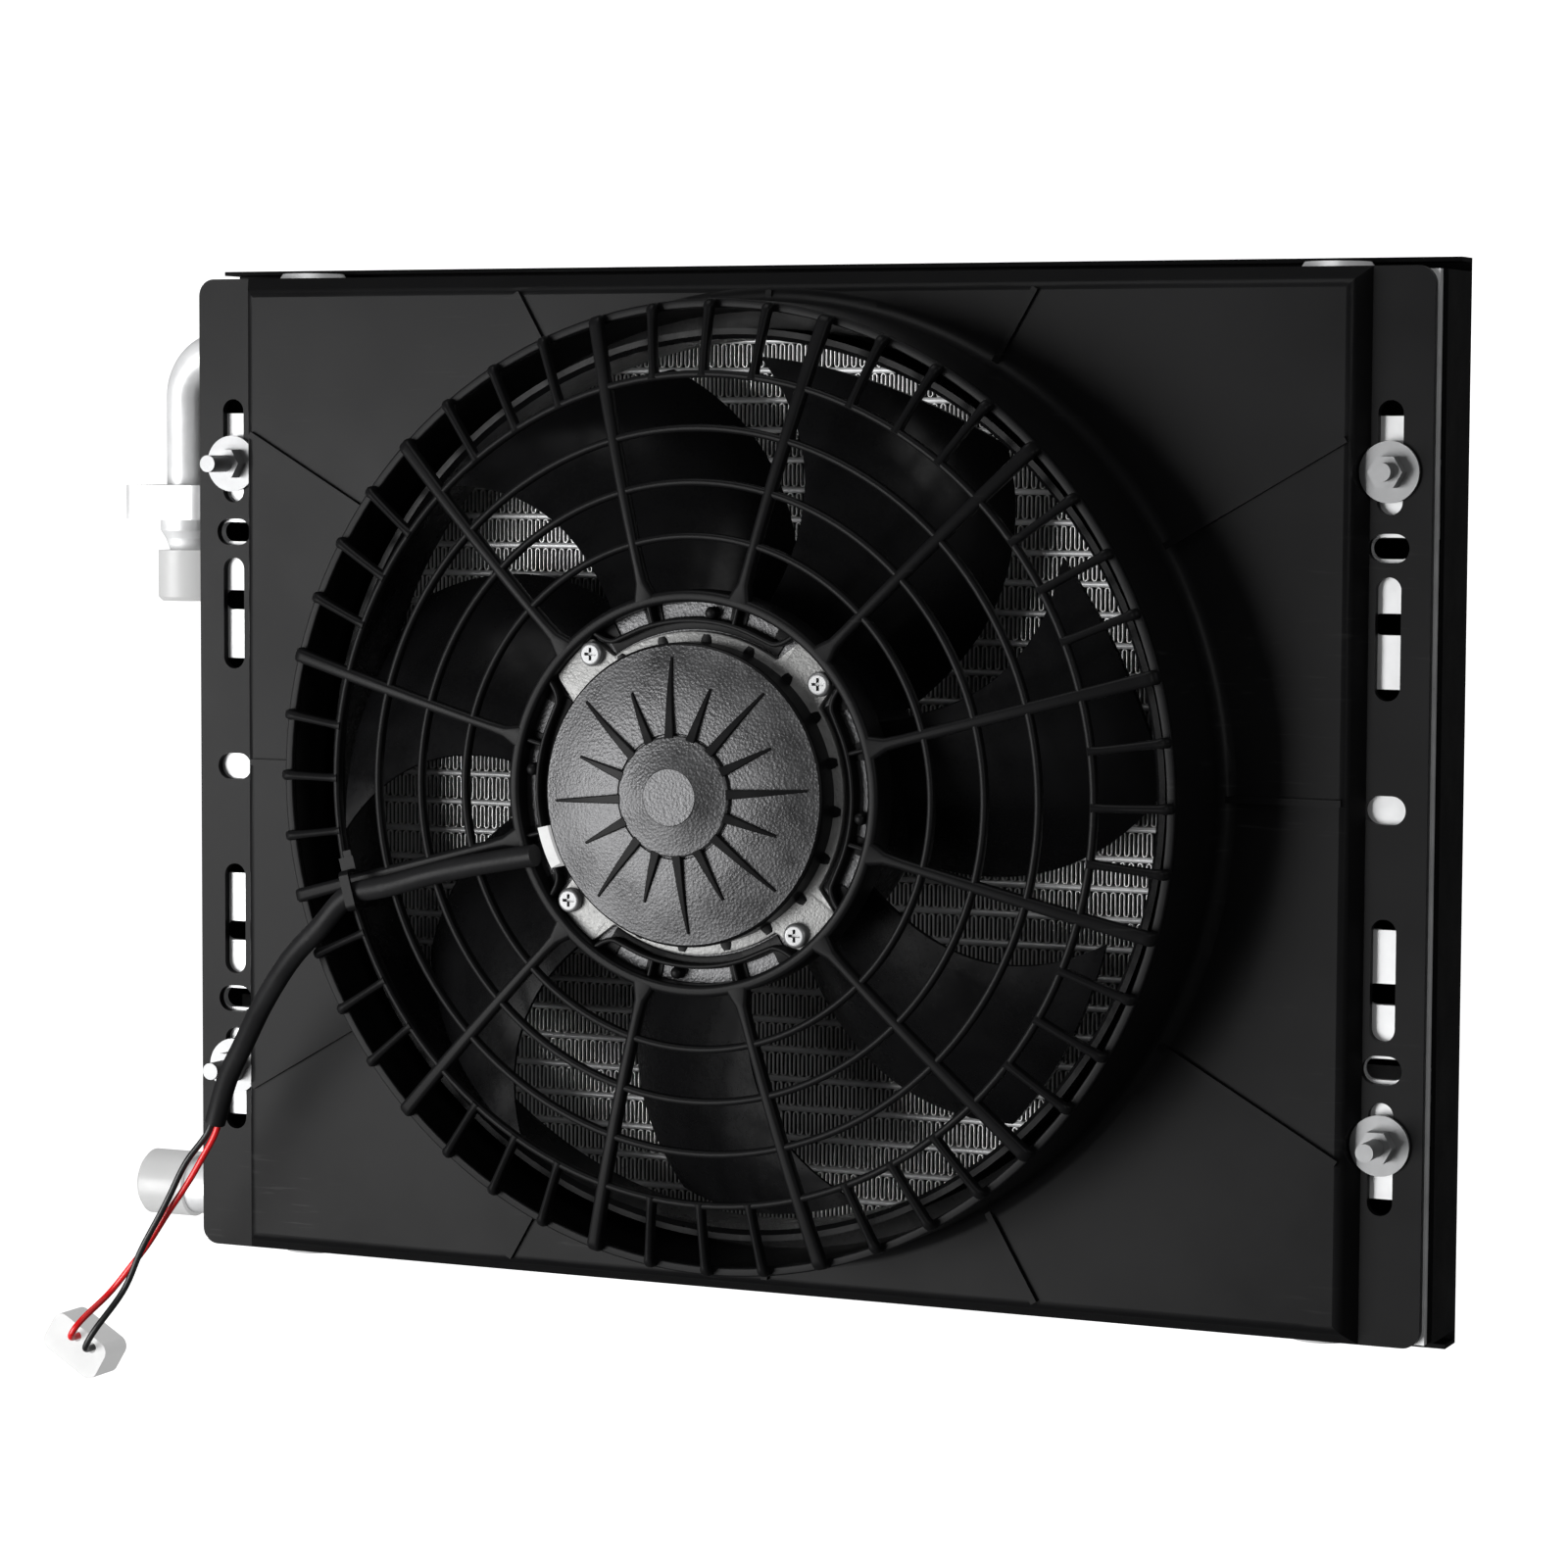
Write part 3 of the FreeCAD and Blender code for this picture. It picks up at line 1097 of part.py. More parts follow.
def fin_ribbon(half_run, fold, folds, tall, thick):
    """A folded strip seen from the front, as one face in the X-Z plane."""
    crest = fold / 4
    front, back = [], []
    for number in range(folds):
        left = -half_run + number * fold
        for x, z in ((0, -1), (crest, -1), (2 * crest, 1), (3 * crest, 1)):
            front.append(Vector(left + x, 0, z * (tall / 2 - thick) + thick))
            back.append(Vector(left + x, 0, z * (tall / 2 - thick) - thick))
    front.append(Vector(half_run, 0, -tall / 2 + 2 * thick))
    back.append(Vector(half_run, 0, -tall / 2))
    loop = front + back[::-1]
    return Part.Face(Part.makePolygon(loop + [loop[0]]))


# ---------------------------------------------------------------- rails, frame and studs

def make_rails():
    """Bright side rails behind the shroud flange."""
    for side, label in ((-1, "left_side_rail"), (1, "right_side_rail")):
        body = new_body("Rail", (0, "flange_thk + rail_thk", 0), FACING)
        inner_edge = "header_x + 6"
        sketch = new_sketch(body)
        add_rectangle(
            sketch, "%d * (%s + rail_out) / 2" % (side, inner_edge), "0", "rail_out - (%s)" % inner_edge,
            "rail_tall")
        pad(body, sketch, "rail_thk")
        openings = new_sketch(body)
        x = "%d * slot_x" % side
        for end in (-1, 1):
            for height in ("cross_slot_z", "2 * cross_slot_z - stud_z"):
                add_slot(openings, x, "%d * (%s)" % (end, height), "cross_slot_long", "rail_slot_w", False)
            add_slot(openings, x, "%d * stud_z" % end, "rail_slot_w + 1", "rail_slot_w", False)
            add_rectangle(openings, x, "%d * mid_window_z" % end, "window_w", "mid_window_tall")
            add_rectangle(openings, x, "%d * end_window_z" % end, "window_w", "end_window_tall")
        pocket(body, openings, "rail_thk", Reversed=True)
        keep(body, label)


def make_frame():
    """Black sheet frame at the back: two sides with webs, and a top and bottom lapped onto them."""
    front = "flange_thk + rail_thk"
    side_strip_tall = "frame_tall - 2 * sheet_thk"
    for side, label in ((-1, "frame_left_channel"), (1, "frame_right_channel")):
        web_left = "frame_w / 2 - sheet_thk" if side > 0 else "0 - frame_w / 2"
        web = block(
            "Web", "sheet_thk", "frame_back - (%s)" % front, "web_tall",
            (web_left, front, "0 - web_tall / 2"))
        strip_left = "frame_w / 2 - side_lip" if side > 0 else "0 - frame_w / 2"
        strip = block(
            "Strip", "side_lip", "sheet_thk", side_strip_tall,
            (strip_left, "frame_back - sheet_thk", "0 - (%s) / 2" % side_strip_tall))
        channel = join(label + "_sheet", [web, strip])
        if side < 0:
            pointing_left = Rotation(Vector(0, 1, 0), -90)
            passages = []
            for height in ("inlet_z", "0 - outlet_z"):
                start = ("4 - frame_w / 2", "core_mid", height)
                passages.append(cylinder("Passage", "pipe_rad + 1", "8", start, pointing_left))
            channel = cut(label + "_pierced", channel, join("Passages", passages))
        keep(channel, label)

    for end, label in ((1, "frame_top_channel"), (-1, "frame_bottom_channel")):
        across = "(frame_w - 2 * side_lip + 2 * lap)"
        strip_low = "frame_tall / 2 - end_lip" if end > 0 else "0 - frame_tall / 2"
        strip = block(
            "Strip", across, "sheet_thk", "end_lip",
            ("0 - %s / 2" % across, "frame_back - 2 * sheet_thk", strip_low))
        flange_low = "frame_tall / 2 - sheet_thk" if end > 0 else "0 - frame_tall / 2"
        flange = block(
            "Flange", "frame_w", "end_flange", "sheet_thk",
            ("0 - frame_w / 2", "frame_back - end_flange", flange_low))
        keep(join(label + "_sheet", [strip, flange]), label)

    brackets, heads = [], []
    for side in (-1, 1):
        for end in (-1, 1):
            inner = "header_x - 6" if side > 0 else "0 - frame_w / 2 + sheet_thk"
            brackets.append(block(
                "Tie", "frame_w / 2 - sheet_thk - header_x + 6", "sheet_thk", "26",
                (inner, "core_mid + header_rad", "%d * 100 - 13" % end)))
            for inset in (6, 16):
                at = (
                    "%d * (frame_w / 2 - side_lip + lap / 2)" % side, "frame_back - 2 * sheet_thk",
                    "%d * (frame_tall / 2 - %d)" % (end, inset))
                head = doc.addObject("Part::Cone", "RivetHead")
                bind(head, Radius1="2.4", Radius2="1.4", Height="1")
                heads.append(place(head, at, FACING))
    keep(group("Ties", brackets), "core_tie_strips")
    keep(group("Rivets", heads), "frame_rivets")


def make_studs():
    """Four studs through rail and flange, each with a washer and a nut."""
    studs, washers, nuts = [], [], []
    for side in (-1, 1):
        for end in (-1, 1):
            x, z = "%d * slot_x" % side, "%d * stud_z" % end
            reach = "21" if (side, end) != (1, 1) else "13"
            shank = cylinder(
                "Shank", "stud_rad", "flange_thk + rail_thk + %s - 3" % reach,
                (x, "flange_thk + rail_thk", z), FACING)
            head = prism("StudHead", "nut_af", "4", (x, "flange_thk + rail_thk + 4", z), FACING)
            studs.append(join("Stud", [shank, head]))
            disc = cylinder("WasherDisc", "washer_rad", "1.4", (x, "0", z), FACING)
            disc_bore = cylinder("WasherBore", "stud_rad + 0.2", "1.4", (x, "0", z), FACING)
            washers.append(cut("Washer", disc, disc_bore))
            hexagon = prism("NutHex", "nut_af", "5", (x, "-1.4", z), FACING)
            thread_bore = cylinder("NutBore", "stud_rad", "5", (x, "-1.4", z), FACING)
            nuts.append(cut("Nut", hexagon, thread_bore))
    keep(group("Studs", studs), "shroud_studs")
    keep(group("Washers", washers), "shroud_washers")
    keep(group("Nuts", nuts), "shroud_nuts")


# ---------------------------------------------------------------- ports

def make_ports():
    """Bent inlet pipe with its block, neck and cap, and the straight outlet."""
    start_x = "0 - header_x - header_rad + 3"
    pipe_end = "block_top - block_tall"
    route = doc.addObject("Part::Feature", "InletPipe")
    x0, x1 = size_of(start_x), size_of("0 - port_x")
    top, y, bend = size_of("inlet_z"), size_of("core_mid"), size_of("bend_rad")
    run = Part.makeLine(Vector(x0, y, top), Vector(x1 + bend, y, top))
    knee_middle = Vector(x1 + bend * (1 - math.sqrt(0.5)), y, top - bend * (1 - math.sqrt(0.5)))
    knee = Part.Arc(Vector(x1 + bend, y, top), knee_middle, Vector(x1, y, top - bend)).toShape()
    drop = Part.makeLine(Vector(x1, y, top - bend), Vector(x1, y, size_of(pipe_end)))
    path = Part.Wire([run, knee, drop])
    tubes = []
    for radius in ("pipe_rad", "pipe_bore"):
        ring = Part.Wire([Part.makeCircle(size_of(radius), Vector(x0, y, top), Vector(-1, 0, 0))])
        tubes.append(path.makePipeShell([ring], True, True))
    route.Shape = tubes[0].cut(tubes[1])
    keep(route, "inlet_pipe")

    slab = block(
        "BlockSlab", "block_w", "block_deep", "block_tall",
        ("0 - port_x - block_out", "core_mid - block_deep / 2", "block_top - block_tall"))
    rounded = doc.addObject("Part::Fillet", "BlockRound")
    doc.recompute()
    rounded.Base = slab
    rounded.Edges = [
        (number + 1, 5, 5) for number, edge in enumerate(slab.Shape.Edges) if edge.BoundBox.ZLength > 1]
    bore_low = ("0 - port_x", "core_mid", "block_top - block_tall")
    bore = cylinder("BlockBore", "pipe_rad", "block_tall", bore_low)
    keep(cut("InletBlock", rounded, bore), "inlet_block")

    pointing_down = Rotation(Vector(1, 0, 0), 180)
    neck = new_body("Neck", ("0 - port_x", "core_mid", "block_top - block_tall"), pointing_down)
    turn_profile(neck, [
        ("4.5", "0"), ("10.4", "0"), ("10.4", "4"), ("8.6", "7"), ("neck_rad", "11"), ("neck_rad", "26"),
        ("4.5", "26")])
    keep(neck, "inlet_neck")

    cap = new_body("InletCap", ("0 - port_x", "core_mid", "block_top - block_tall - 11.2"), pointing_down)
    hollow = "neck_rad + cap_gap"
    turn_profile(cap, [
        (hollow, "0"), ("port_cap_rad", "0"), ("port_cap_rad", "port_cap_tall - 1.5"),
        ("port_cap_rad - 1.5", "port_cap_tall"), ("0", "port_cap_tall"), ("0", "port_cap_tall - 2"),
        (hollow, "port_cap_tall - 2")])
    keep(cap, "inlet_port_cap")

    pointing_left = Rotation(Vector(0, 1, 0), -90)
    spigot = new_body("Spigot", (start_x, "core_mid", "0 - outlet_z"), pointing_left)
    shoulder = "outlet_cap_out - 19.8 - header_x - header_rad + 3"
    turn_profile(spigot, [
        ("4.5", "0"), ("pipe_rad", "0"), ("pipe_rad", "%s - 10" % shoulder), ("10.6", "%s - 10" % shoulder),
        ("10.6", shoulder), ("neck_rad", shoulder), ("neck_rad", "%s + 15" % shoulder),
        ("4.5", "%s + 15" % shoulder)])
    keep(spigot, "outlet_spigot")

    cap = new_body("OutletCap", ("0 - outlet_cap_out + 19.6", "core_mid", "0 - outlet_z"), pointing_left)
    turn_profile(cap, [
        (hollow, "0"), ("outlet_cap_rad", "0"), ("outlet_cap_rad", "18.1"), ("outlet_cap_rad - 1.5", "19.6"),
        ("0", "19.6"), ("0", "17.4"), (hollow, "17.4")])
    keep(cap, "outlet_port_cap")


# ---------------------------------------------------------------- build and export

make_shroud()
make_throat_ring()
make_guard()
make_motor_plate()
make_motor_cover()
make_motor_can()
make_motor_screws()
make_motor_insides()
make_impeller()
make_cable()
make_cable_tie()
make_headers()
make_core()
make_rails()
make_frame()
make_studs()
make_ports()
doc.recompute()

faults = []
for item in doc.Objects:
    if {"Invalid", "Error"} & set(item.State):
        faults.append("%s (%s): %s" % (item.Name, item.Label, item.State))
for item in nodes:
    if item.Shape.isNull() or not item.Shape.isValid() or not item.Shape.Solids:
        faults.append("%s: bad shape" % item.Label)
if faults:
    sys.exit("\n".join(faults))

os.makedirs("parts", exist_ok=True)
for item in nodes:
    item.Shape.exportStep("parts/%s.step" % item.Label)
print("%d pieces" % len(nodes))
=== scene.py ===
import json
import math

import bmesh
import bpy
from mathutils import Matrix, Vector


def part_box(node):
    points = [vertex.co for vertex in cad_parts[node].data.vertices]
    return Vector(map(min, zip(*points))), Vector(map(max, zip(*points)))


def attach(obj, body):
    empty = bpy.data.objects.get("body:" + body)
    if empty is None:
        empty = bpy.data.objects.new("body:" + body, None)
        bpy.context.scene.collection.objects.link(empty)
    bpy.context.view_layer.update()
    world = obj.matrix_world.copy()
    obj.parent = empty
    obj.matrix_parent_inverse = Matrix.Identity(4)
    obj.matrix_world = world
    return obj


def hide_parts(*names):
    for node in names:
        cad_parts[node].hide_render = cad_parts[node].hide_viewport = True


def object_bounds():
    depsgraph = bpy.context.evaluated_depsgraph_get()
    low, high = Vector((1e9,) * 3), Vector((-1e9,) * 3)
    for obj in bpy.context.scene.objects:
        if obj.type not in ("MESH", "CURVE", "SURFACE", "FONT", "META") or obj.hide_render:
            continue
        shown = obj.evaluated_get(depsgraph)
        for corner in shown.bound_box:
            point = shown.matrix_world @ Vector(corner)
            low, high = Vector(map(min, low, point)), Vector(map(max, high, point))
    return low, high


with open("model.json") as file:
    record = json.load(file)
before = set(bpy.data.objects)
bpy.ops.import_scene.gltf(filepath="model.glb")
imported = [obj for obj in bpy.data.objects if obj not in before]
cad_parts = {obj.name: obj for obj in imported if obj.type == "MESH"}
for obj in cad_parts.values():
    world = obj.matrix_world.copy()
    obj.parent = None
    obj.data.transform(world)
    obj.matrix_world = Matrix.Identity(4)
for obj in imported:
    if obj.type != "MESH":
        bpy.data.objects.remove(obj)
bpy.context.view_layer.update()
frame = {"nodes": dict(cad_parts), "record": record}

MM = 0.001
TAU = 2 * math.pi
TURNED_STEPS = 160
FRONTWARD = Vector((0, -1, 0))


# ---------------------------------------------------------------- measures from the frame

def middle(node):
    low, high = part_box(node)
    return (low + high) / 2


def reach(node):
    """Largest radius of a round node about the fan axis."""
    low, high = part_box(node)
    return (high.x - low.x) / 2


def front_of(node):
    """Depth of a node's front end, counted out of the cooler's front."""
    return -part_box(node)[0].y


def back_of(node):
    return -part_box(node)[1].y


# radii and depths about the fan axis. A depth counts out of the cooler's front
FAN_Z = middle("motor_shaft").z
COLLAR_FRONT = front_of("fan_shroud")
COVER = reach("motor_end_cover")
PLATE_FRONT = front_of("motor_mounting_plate")

# the guard's dome runs from its hub to its rim, then bends back with a round knee
RIM = reach("fan_guard")
RIM_FRONT = COLLAR_FRONT + 6.7 * MM
RIM_ROUND = 3.5 * MM
HUB = 67 * MM
HUB_FRONT = front_of("fan_guard")
DOME = 2.2 * MM
SPOKES = 12
RIM_RIBS = 48
RIM_RIB_START = 137 * MM
RINGS = 4
FIRST_RING = 84.5 * MM
LAST_RING = 137.5 * MM

# the motor's seat inside the hub, with one gap in its wall for each ear of the cast plate
EARS = 4
FIRST_EAR = 44.8
SEAT = 53.9 * MM
SEAT_FLOOR = 65 * MM
SEAT_WALL_FRONT = 68.8 * MM
LEDGE = HUB - 4 * MM


# ---------------------------------------------------------------- mesh building

def facing(radius, clock, depth):
    """A point by radius and clock angle about the fan axis, and depth out of the front."""
    angle = math.radians(clock)
    return Vector((radius * math.sin(angle), -depth, FAN_Z + radius * math.cos(angle)))


def outward(clock):
    angle = math.radians(clock)
    return Vector((math.sin(angle), 0, math.cos(angle)))


def sideways(clock):
    return outward(clock + 90)


class Shape:
    """Collects vertices and faces, then becomes one object."""

    def __init__(self):
        self.points = []
        self.faces = []

    def ring(self, points):
        start = len(self.points)
        self.points += points
        return list(range(start, start + len(points)))

    def bridge(self, first, second, wrap=True):
        count = len(first)
        for number in range(count if wrap else count - 1):
            after = (number + 1) % count
            self.faces.append((first[number], first[after], second[after], second[number]))

    def sweep(self, stations, closed=False):
        """Skin a run of rings, each a list of points, with end caps unless closed."""
        rings = [self.ring(points) for points in stations]
        for first, second in zip(rings, rings[1:]):
            self.bridge(first, second)
        if closed:
            self.bridge(rings[-1], rings[0])
        else:
            self.faces.append(tuple(reversed(rings[0])))
            self.faces.append(tuple(rings[-1]))

    def object(self, name, body, finish, stands_for=(), sharp=40):
        mesh = bpy.data.meshes.new(name)
        mesh.from_pydata([tuple(point) for point in self.points], [], self.faces)
        mesh.validate()
        mesh.shade_smooth()
        mesh.set_sharp_from_angle(angle=math.radians(sharp))
        piece = bpy.data.objects.new(name, mesh)
        bpy.context.scene.collection.objects.link(piece)
        fix_normals(mesh)
        mesh.materials.append(finish)
        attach(piece, body)
        if stands_for:
            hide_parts(*stands_for)
        return piece


def paint(piece, first, last, finish):
    """Give a run of a piece's faces another finish."""
    piece.data.materials.append(finish)
    for face in piece.data.polygons[first:last]:
        face.material_index = len(piece.data.materials) - 1


def fix_normals(mesh):
    """Turn every face of a closed shell outwards."""
    work = bmesh.new()
    work.from_mesh(mesh)
    bmesh.ops.recalc_face_normals(work, faces=work.faces)
    work.to_mesh(mesh)
    work.free()


def rounded(width, height, radius, steps=4):
    """Outline of a rounded rectangle about its centre."""
    radius = min(radius, width / 2, height / 2)
    outline = []
    for quarter, (x, y) in enumerate(((1, 1), (-1, 1), (-1, -1), (1, -1))):
        for step in range(steps + 1):
            angle = math.radians(90) * (quarter + step / steps)
            outline.append((
                x * (width / 2 - radius) + radius * math.cos(angle),
                y * (height / 2 - radius) + radius * math.sin(angle)))
    return outline


def placed(outline, centre, side, up):
    return [centre + side * x + up * y for x, y in outline]


def hoop(shape, radius, width, front, deep, corner, steps=144):
    """A ring about the fan axis with a rounded rectangular section."""
    outline = rounded(width, deep, corner)
    stations = []
    for step in range(steps):
        clock = 360 * step / steps
        centre = facing(radius, clock, front - deep / 2)
        stations.append(placed(outline, centre, outward(clock), FRONTWARD))
    shape.sweep(stations, closed=True)


def sector(shape, inner, outer, start, end, back, front, corner=0.3 * MM):
    """A solid arc of a flat ring, between two clock angles."""
    outline = rounded(outer - inner, front - back, corner, 2)
    steps = max(2, int((end - start) / 2.5))
    stations = []
    for step in range(steps + 1):
        clock = start + (end - start) * step / steps
        centre = facing((inner + outer) / 2, clock, (front + back) / 2)
        stations.append(placed(outline, centre, outward(clock), FRONTWARD))
    shape.sweep(stations)


def lathe(shape, profile, steps=TURNED_STEPS):
    """Turn an outline of (radius, depth) points about the fan axis. Both ends may lie on the axis."""
    rings = []
    for radius, depth in profile:
        if radius < 1e-7:
            rings.append(shape.ring([facing(0, 0, depth)]))
        else:
            rings.append(shape.ring([facing(radius, 360 * step / steps, depth) for step in range(steps)]))
    for first, second in zip(rings, rings[1:]):
        if len(first) == 1:
            for step in range(steps):
                shape.faces.append((first[0], second[(step + 1) % steps], second[step]))
        elif len(second) == 1:
            for step in range(steps):
                shape.faces.append((second[0], first[step], first[(step + 1) % steps]))
        else:
            shape.bridge(first, second)


def smooth_path(points, per_span=8):
    """Catmull-Rom run through points."""
    padded = [points[0] * 2 - points[1], *points, points[-1] * 2 - points[-2]]
    run = []
    for number in range(len(points) - 1):
        a, b, c, d = padded[number:number + 4]
        for step in range(per_span):
            t = step / per_span
            square = 2 * a - 5 * b + 4 * c - d
            cube = 3 * b - a - 3 * c + d
            run.append((2 * b + (c - a) * t + square * t * t + cube * t ** 3) / 2)
    run.append(points[-1])
    return run


def wall(shape, path, width, back, front):
    """A thin upright wall that follows a flat path of points at any depth."""
    outline = rounded(width, front - back, width * 0.4, 3)
    stations = []
    for number, point in enumerate(path):
        before = path[max(0, number - 1)]
        after = path[min(len(path) - 1, number + 1)]
        along = (after - before).normalized()
        side = along.cross(FRONTWARD).normalized()
        centre = Vector((point.x, -(back + front) / 2, point.z))
        stations.append(placed(outline, centre, side, FRONTWARD))
    shape.sweep(stations)


def peg(shape, centre, radius, tall, steps=20):
    """A short round post with a domed end, standing out of the front."""
    stations = []
    for lift, share in ((0, 1), (0.75, 1), (0.9, 0.86), (1, 0.45)):
        ring = []
        for step in range(steps):
            angle = TAU * step / steps
            around = Vector((math.cos(angle), 0, math.sin(angle))) * radius * share
            ring.append(centre + around + FRONTWARD * tall * lift)
        stations.append(ring)
    shape.sweep(stations)


# ---------------------------------------------------------------- materials

def tree_of(name):
    material = bpy.data.materials.new(name)
    material.use_nodes = True
    tree = material.node_tree
    tree.nodes.clear()
    return material, tree


def node(tree, kind, **settings):
    made = tree.nodes.new(kind)
    for name, value in settings.items():
        if name.startswith("in_"):
            made.inputs[name[3:].replace("_", " ")].default_value = value
        else:
            setattr(made, name, value)
    return made


def noise(tree, where, scale, detail=4.0, roughness=0.55, stretch=None):
    """Noise in object space. stretch scales the axes first, for brushed or drawn metal."""
    source = where
    if stretch:
        mapping = node(tree, "ShaderNodeMapping")
        mapping.inputs["Scale"].default_value = stretch
        tree.links.new(where, mapping.inputs["Vector"])
        source = mapping.outputs["Vector"]
    made = node(tree, "ShaderNodeTexNoise", in_Scale=scale, in_Detail=detail, in_Roughness=roughness)
    tree.links.new(source, made.inputs["Vector"])
    return made.outputs["Fac"]


def ranged(tree, value, low, high, start=0.3, end=0.7):
    made = node(tree, "ShaderNodeMapRange")
    made.inputs["From Min"].default_value = start
    made.inputs["From Max"].default_value = end
    made.inputs["To Min"].default_value = low
    made.inputs["To Max"].default_value = high
    tree.links.new(value, made.inputs["Value"])
    return made.outputs["Result"]


def mixed(tree, amount, first, second):
    """Mix two colours. Either may be a plain colour or a socket."""
    made = node(tree, "ShaderNodeMix", data_type="RGBA")
    if isinstance(amount, float):
        made.inputs[0].default_value = amount
    else:
        tree.links.new(amount, made.inputs[0])
    for slot, colour in ((6, first), (7, second)):
        if isinstance(colour, tuple):
            made.inputs[slot].default_value = (*colour, 1)
        else:
            tree.links.new(colour, made.inputs[slot])
    return made.outputs[2]


def finish(name, colour, rough, metal=0.0, grain=900, bump=0.2, depth=0.05, mottle=0.12,
           mottle_scale=30, rough_swing=0.08, shine=0.5, stretch=None, scuff=None, pits=None,
           speckle=None, subsurface_and_glow=0.0):
    """A worn, grained surface.

    grain and bump set the fine relief, mottle the slow colour change, scuff the colour of faint
    scratches, shine the strength of a plastic's reflections, pits a cast relief, speckle a second
    colour in small spots, and subsurface_and_glow the subsurface weight and, at the same strength,
    a white emission: a painted glow, as if light passed through the material.
    """
    material, tree = tree_of(name)
    where = node(tree, "ShaderNodeTexCoord").outputs["Object"]
    shader = node(tree, "ShaderNodeBsdfPrincipled", in_Metallic=metal)
    slow = noise(tree, where, mottle_scale, 4, 0.6)
    fine = noise(tree, where, grain, 3, 0.6, stretch)
    dark = tuple(part * (1 - mottle) for part in colour)
    light = tuple(min(1, part * (1 + mottle)) for part in colour)
    base = mixed(tree, ranged(tree, slow, 0, 1), dark, light)
    if speckle:
        spots = noise(tree, where, speckle[1], 2, 0.5)
        base = mixed(tree, ranged(tree, spots, 0, 1, 0.62, 0.72), base, speckle[0])
    uneven = node(tree, "ShaderNodeMath", operation="ADD")
    tree.links.new(ranged(tree, slow, -rough_swing, rough_swing), uneven.inputs[0])
    tree.links.new(ranged(tree, fine, rough - rough_swing / 2, rough + rough_swing / 2), uneven.inputs[1])
    gloss = uneven.outputs[0]
    if scuff:
        lines = noise(tree, where, 60, 2, 0.4, (1, 1, 14))
        patches = noise(tree, where, 9, 2, 0.5)
        amount = node(tree, "ShaderNodeMath", operation="MULTIPLY")
        tree.links.new(ranged(tree, lines, 0, 1, 0.66, 0.72), amount.inputs[0])
        tree.links.new(ranged(tree, patches, 0, 0.6, 0.5, 0.65), amount.inputs[1])
        base = mixed(tree, amount.outputs[0], base, scuff)
        rougher = node(tree, "ShaderNodeMath", operation="MULTIPLY_ADD")
        rougher.inputs[1].default_value = 0.12
        tree.links.new(amount.outputs[0], rougher.inputs[0])
        tree.links.new(gloss, rougher.inputs[2])
        gloss = rougher.outputs[0]
    tree.links.new(base, shader.inputs["Base Color"])
    tree.links.new(gloss, shader.inputs["Roughness"])
    relief = node(tree, "ShaderNodeBump", in_Strength=bump, in_Distance=depth * MM)
    tree.links.new(fine, relief.inputs["Height"])
    if pits:
        cells = node(tree, "ShaderNodeTexVoronoi", in_Scale=pits[0])
        tree.links.new(where, cells.inputs["Vector"])
        coarse = node(tree, "ShaderNodeBump", in_Strength=pits[1], in_Distance=0.25 * MM)
        tree.links.new(cells.outputs["Distance"], coarse.inputs["Height"])
        tree.links.new(coarse.outputs["Normal"], relief.inputs["Normal"])
    tree.links.new(relief.outputs["Normal"], shader.inputs["Normal"])
    shader.inputs["Specular IOR Level"].default_value = shine
    # painted glow: besides the subsurface weight, a white emission makes the part give off light though it
    # is no lamp
    if subsurface_and_glow:
        shader.inputs["Subsurface Weight"].default_value = subsurface_and_glow
        shader.inputs["Subsurface Radius"].default_value = (0.004, 0.004, 0.004)
        shader.inputs["Emission Color"].default_value = (1, 1, 1, 1)
        shader.inputs["Emission Strength"].default_value = subsurface_and_glow
    out = node(tree, "ShaderNodeOutputMaterial")
    tree.links.new(shader.outputs[0], out.inputs["Surface"])
    return material


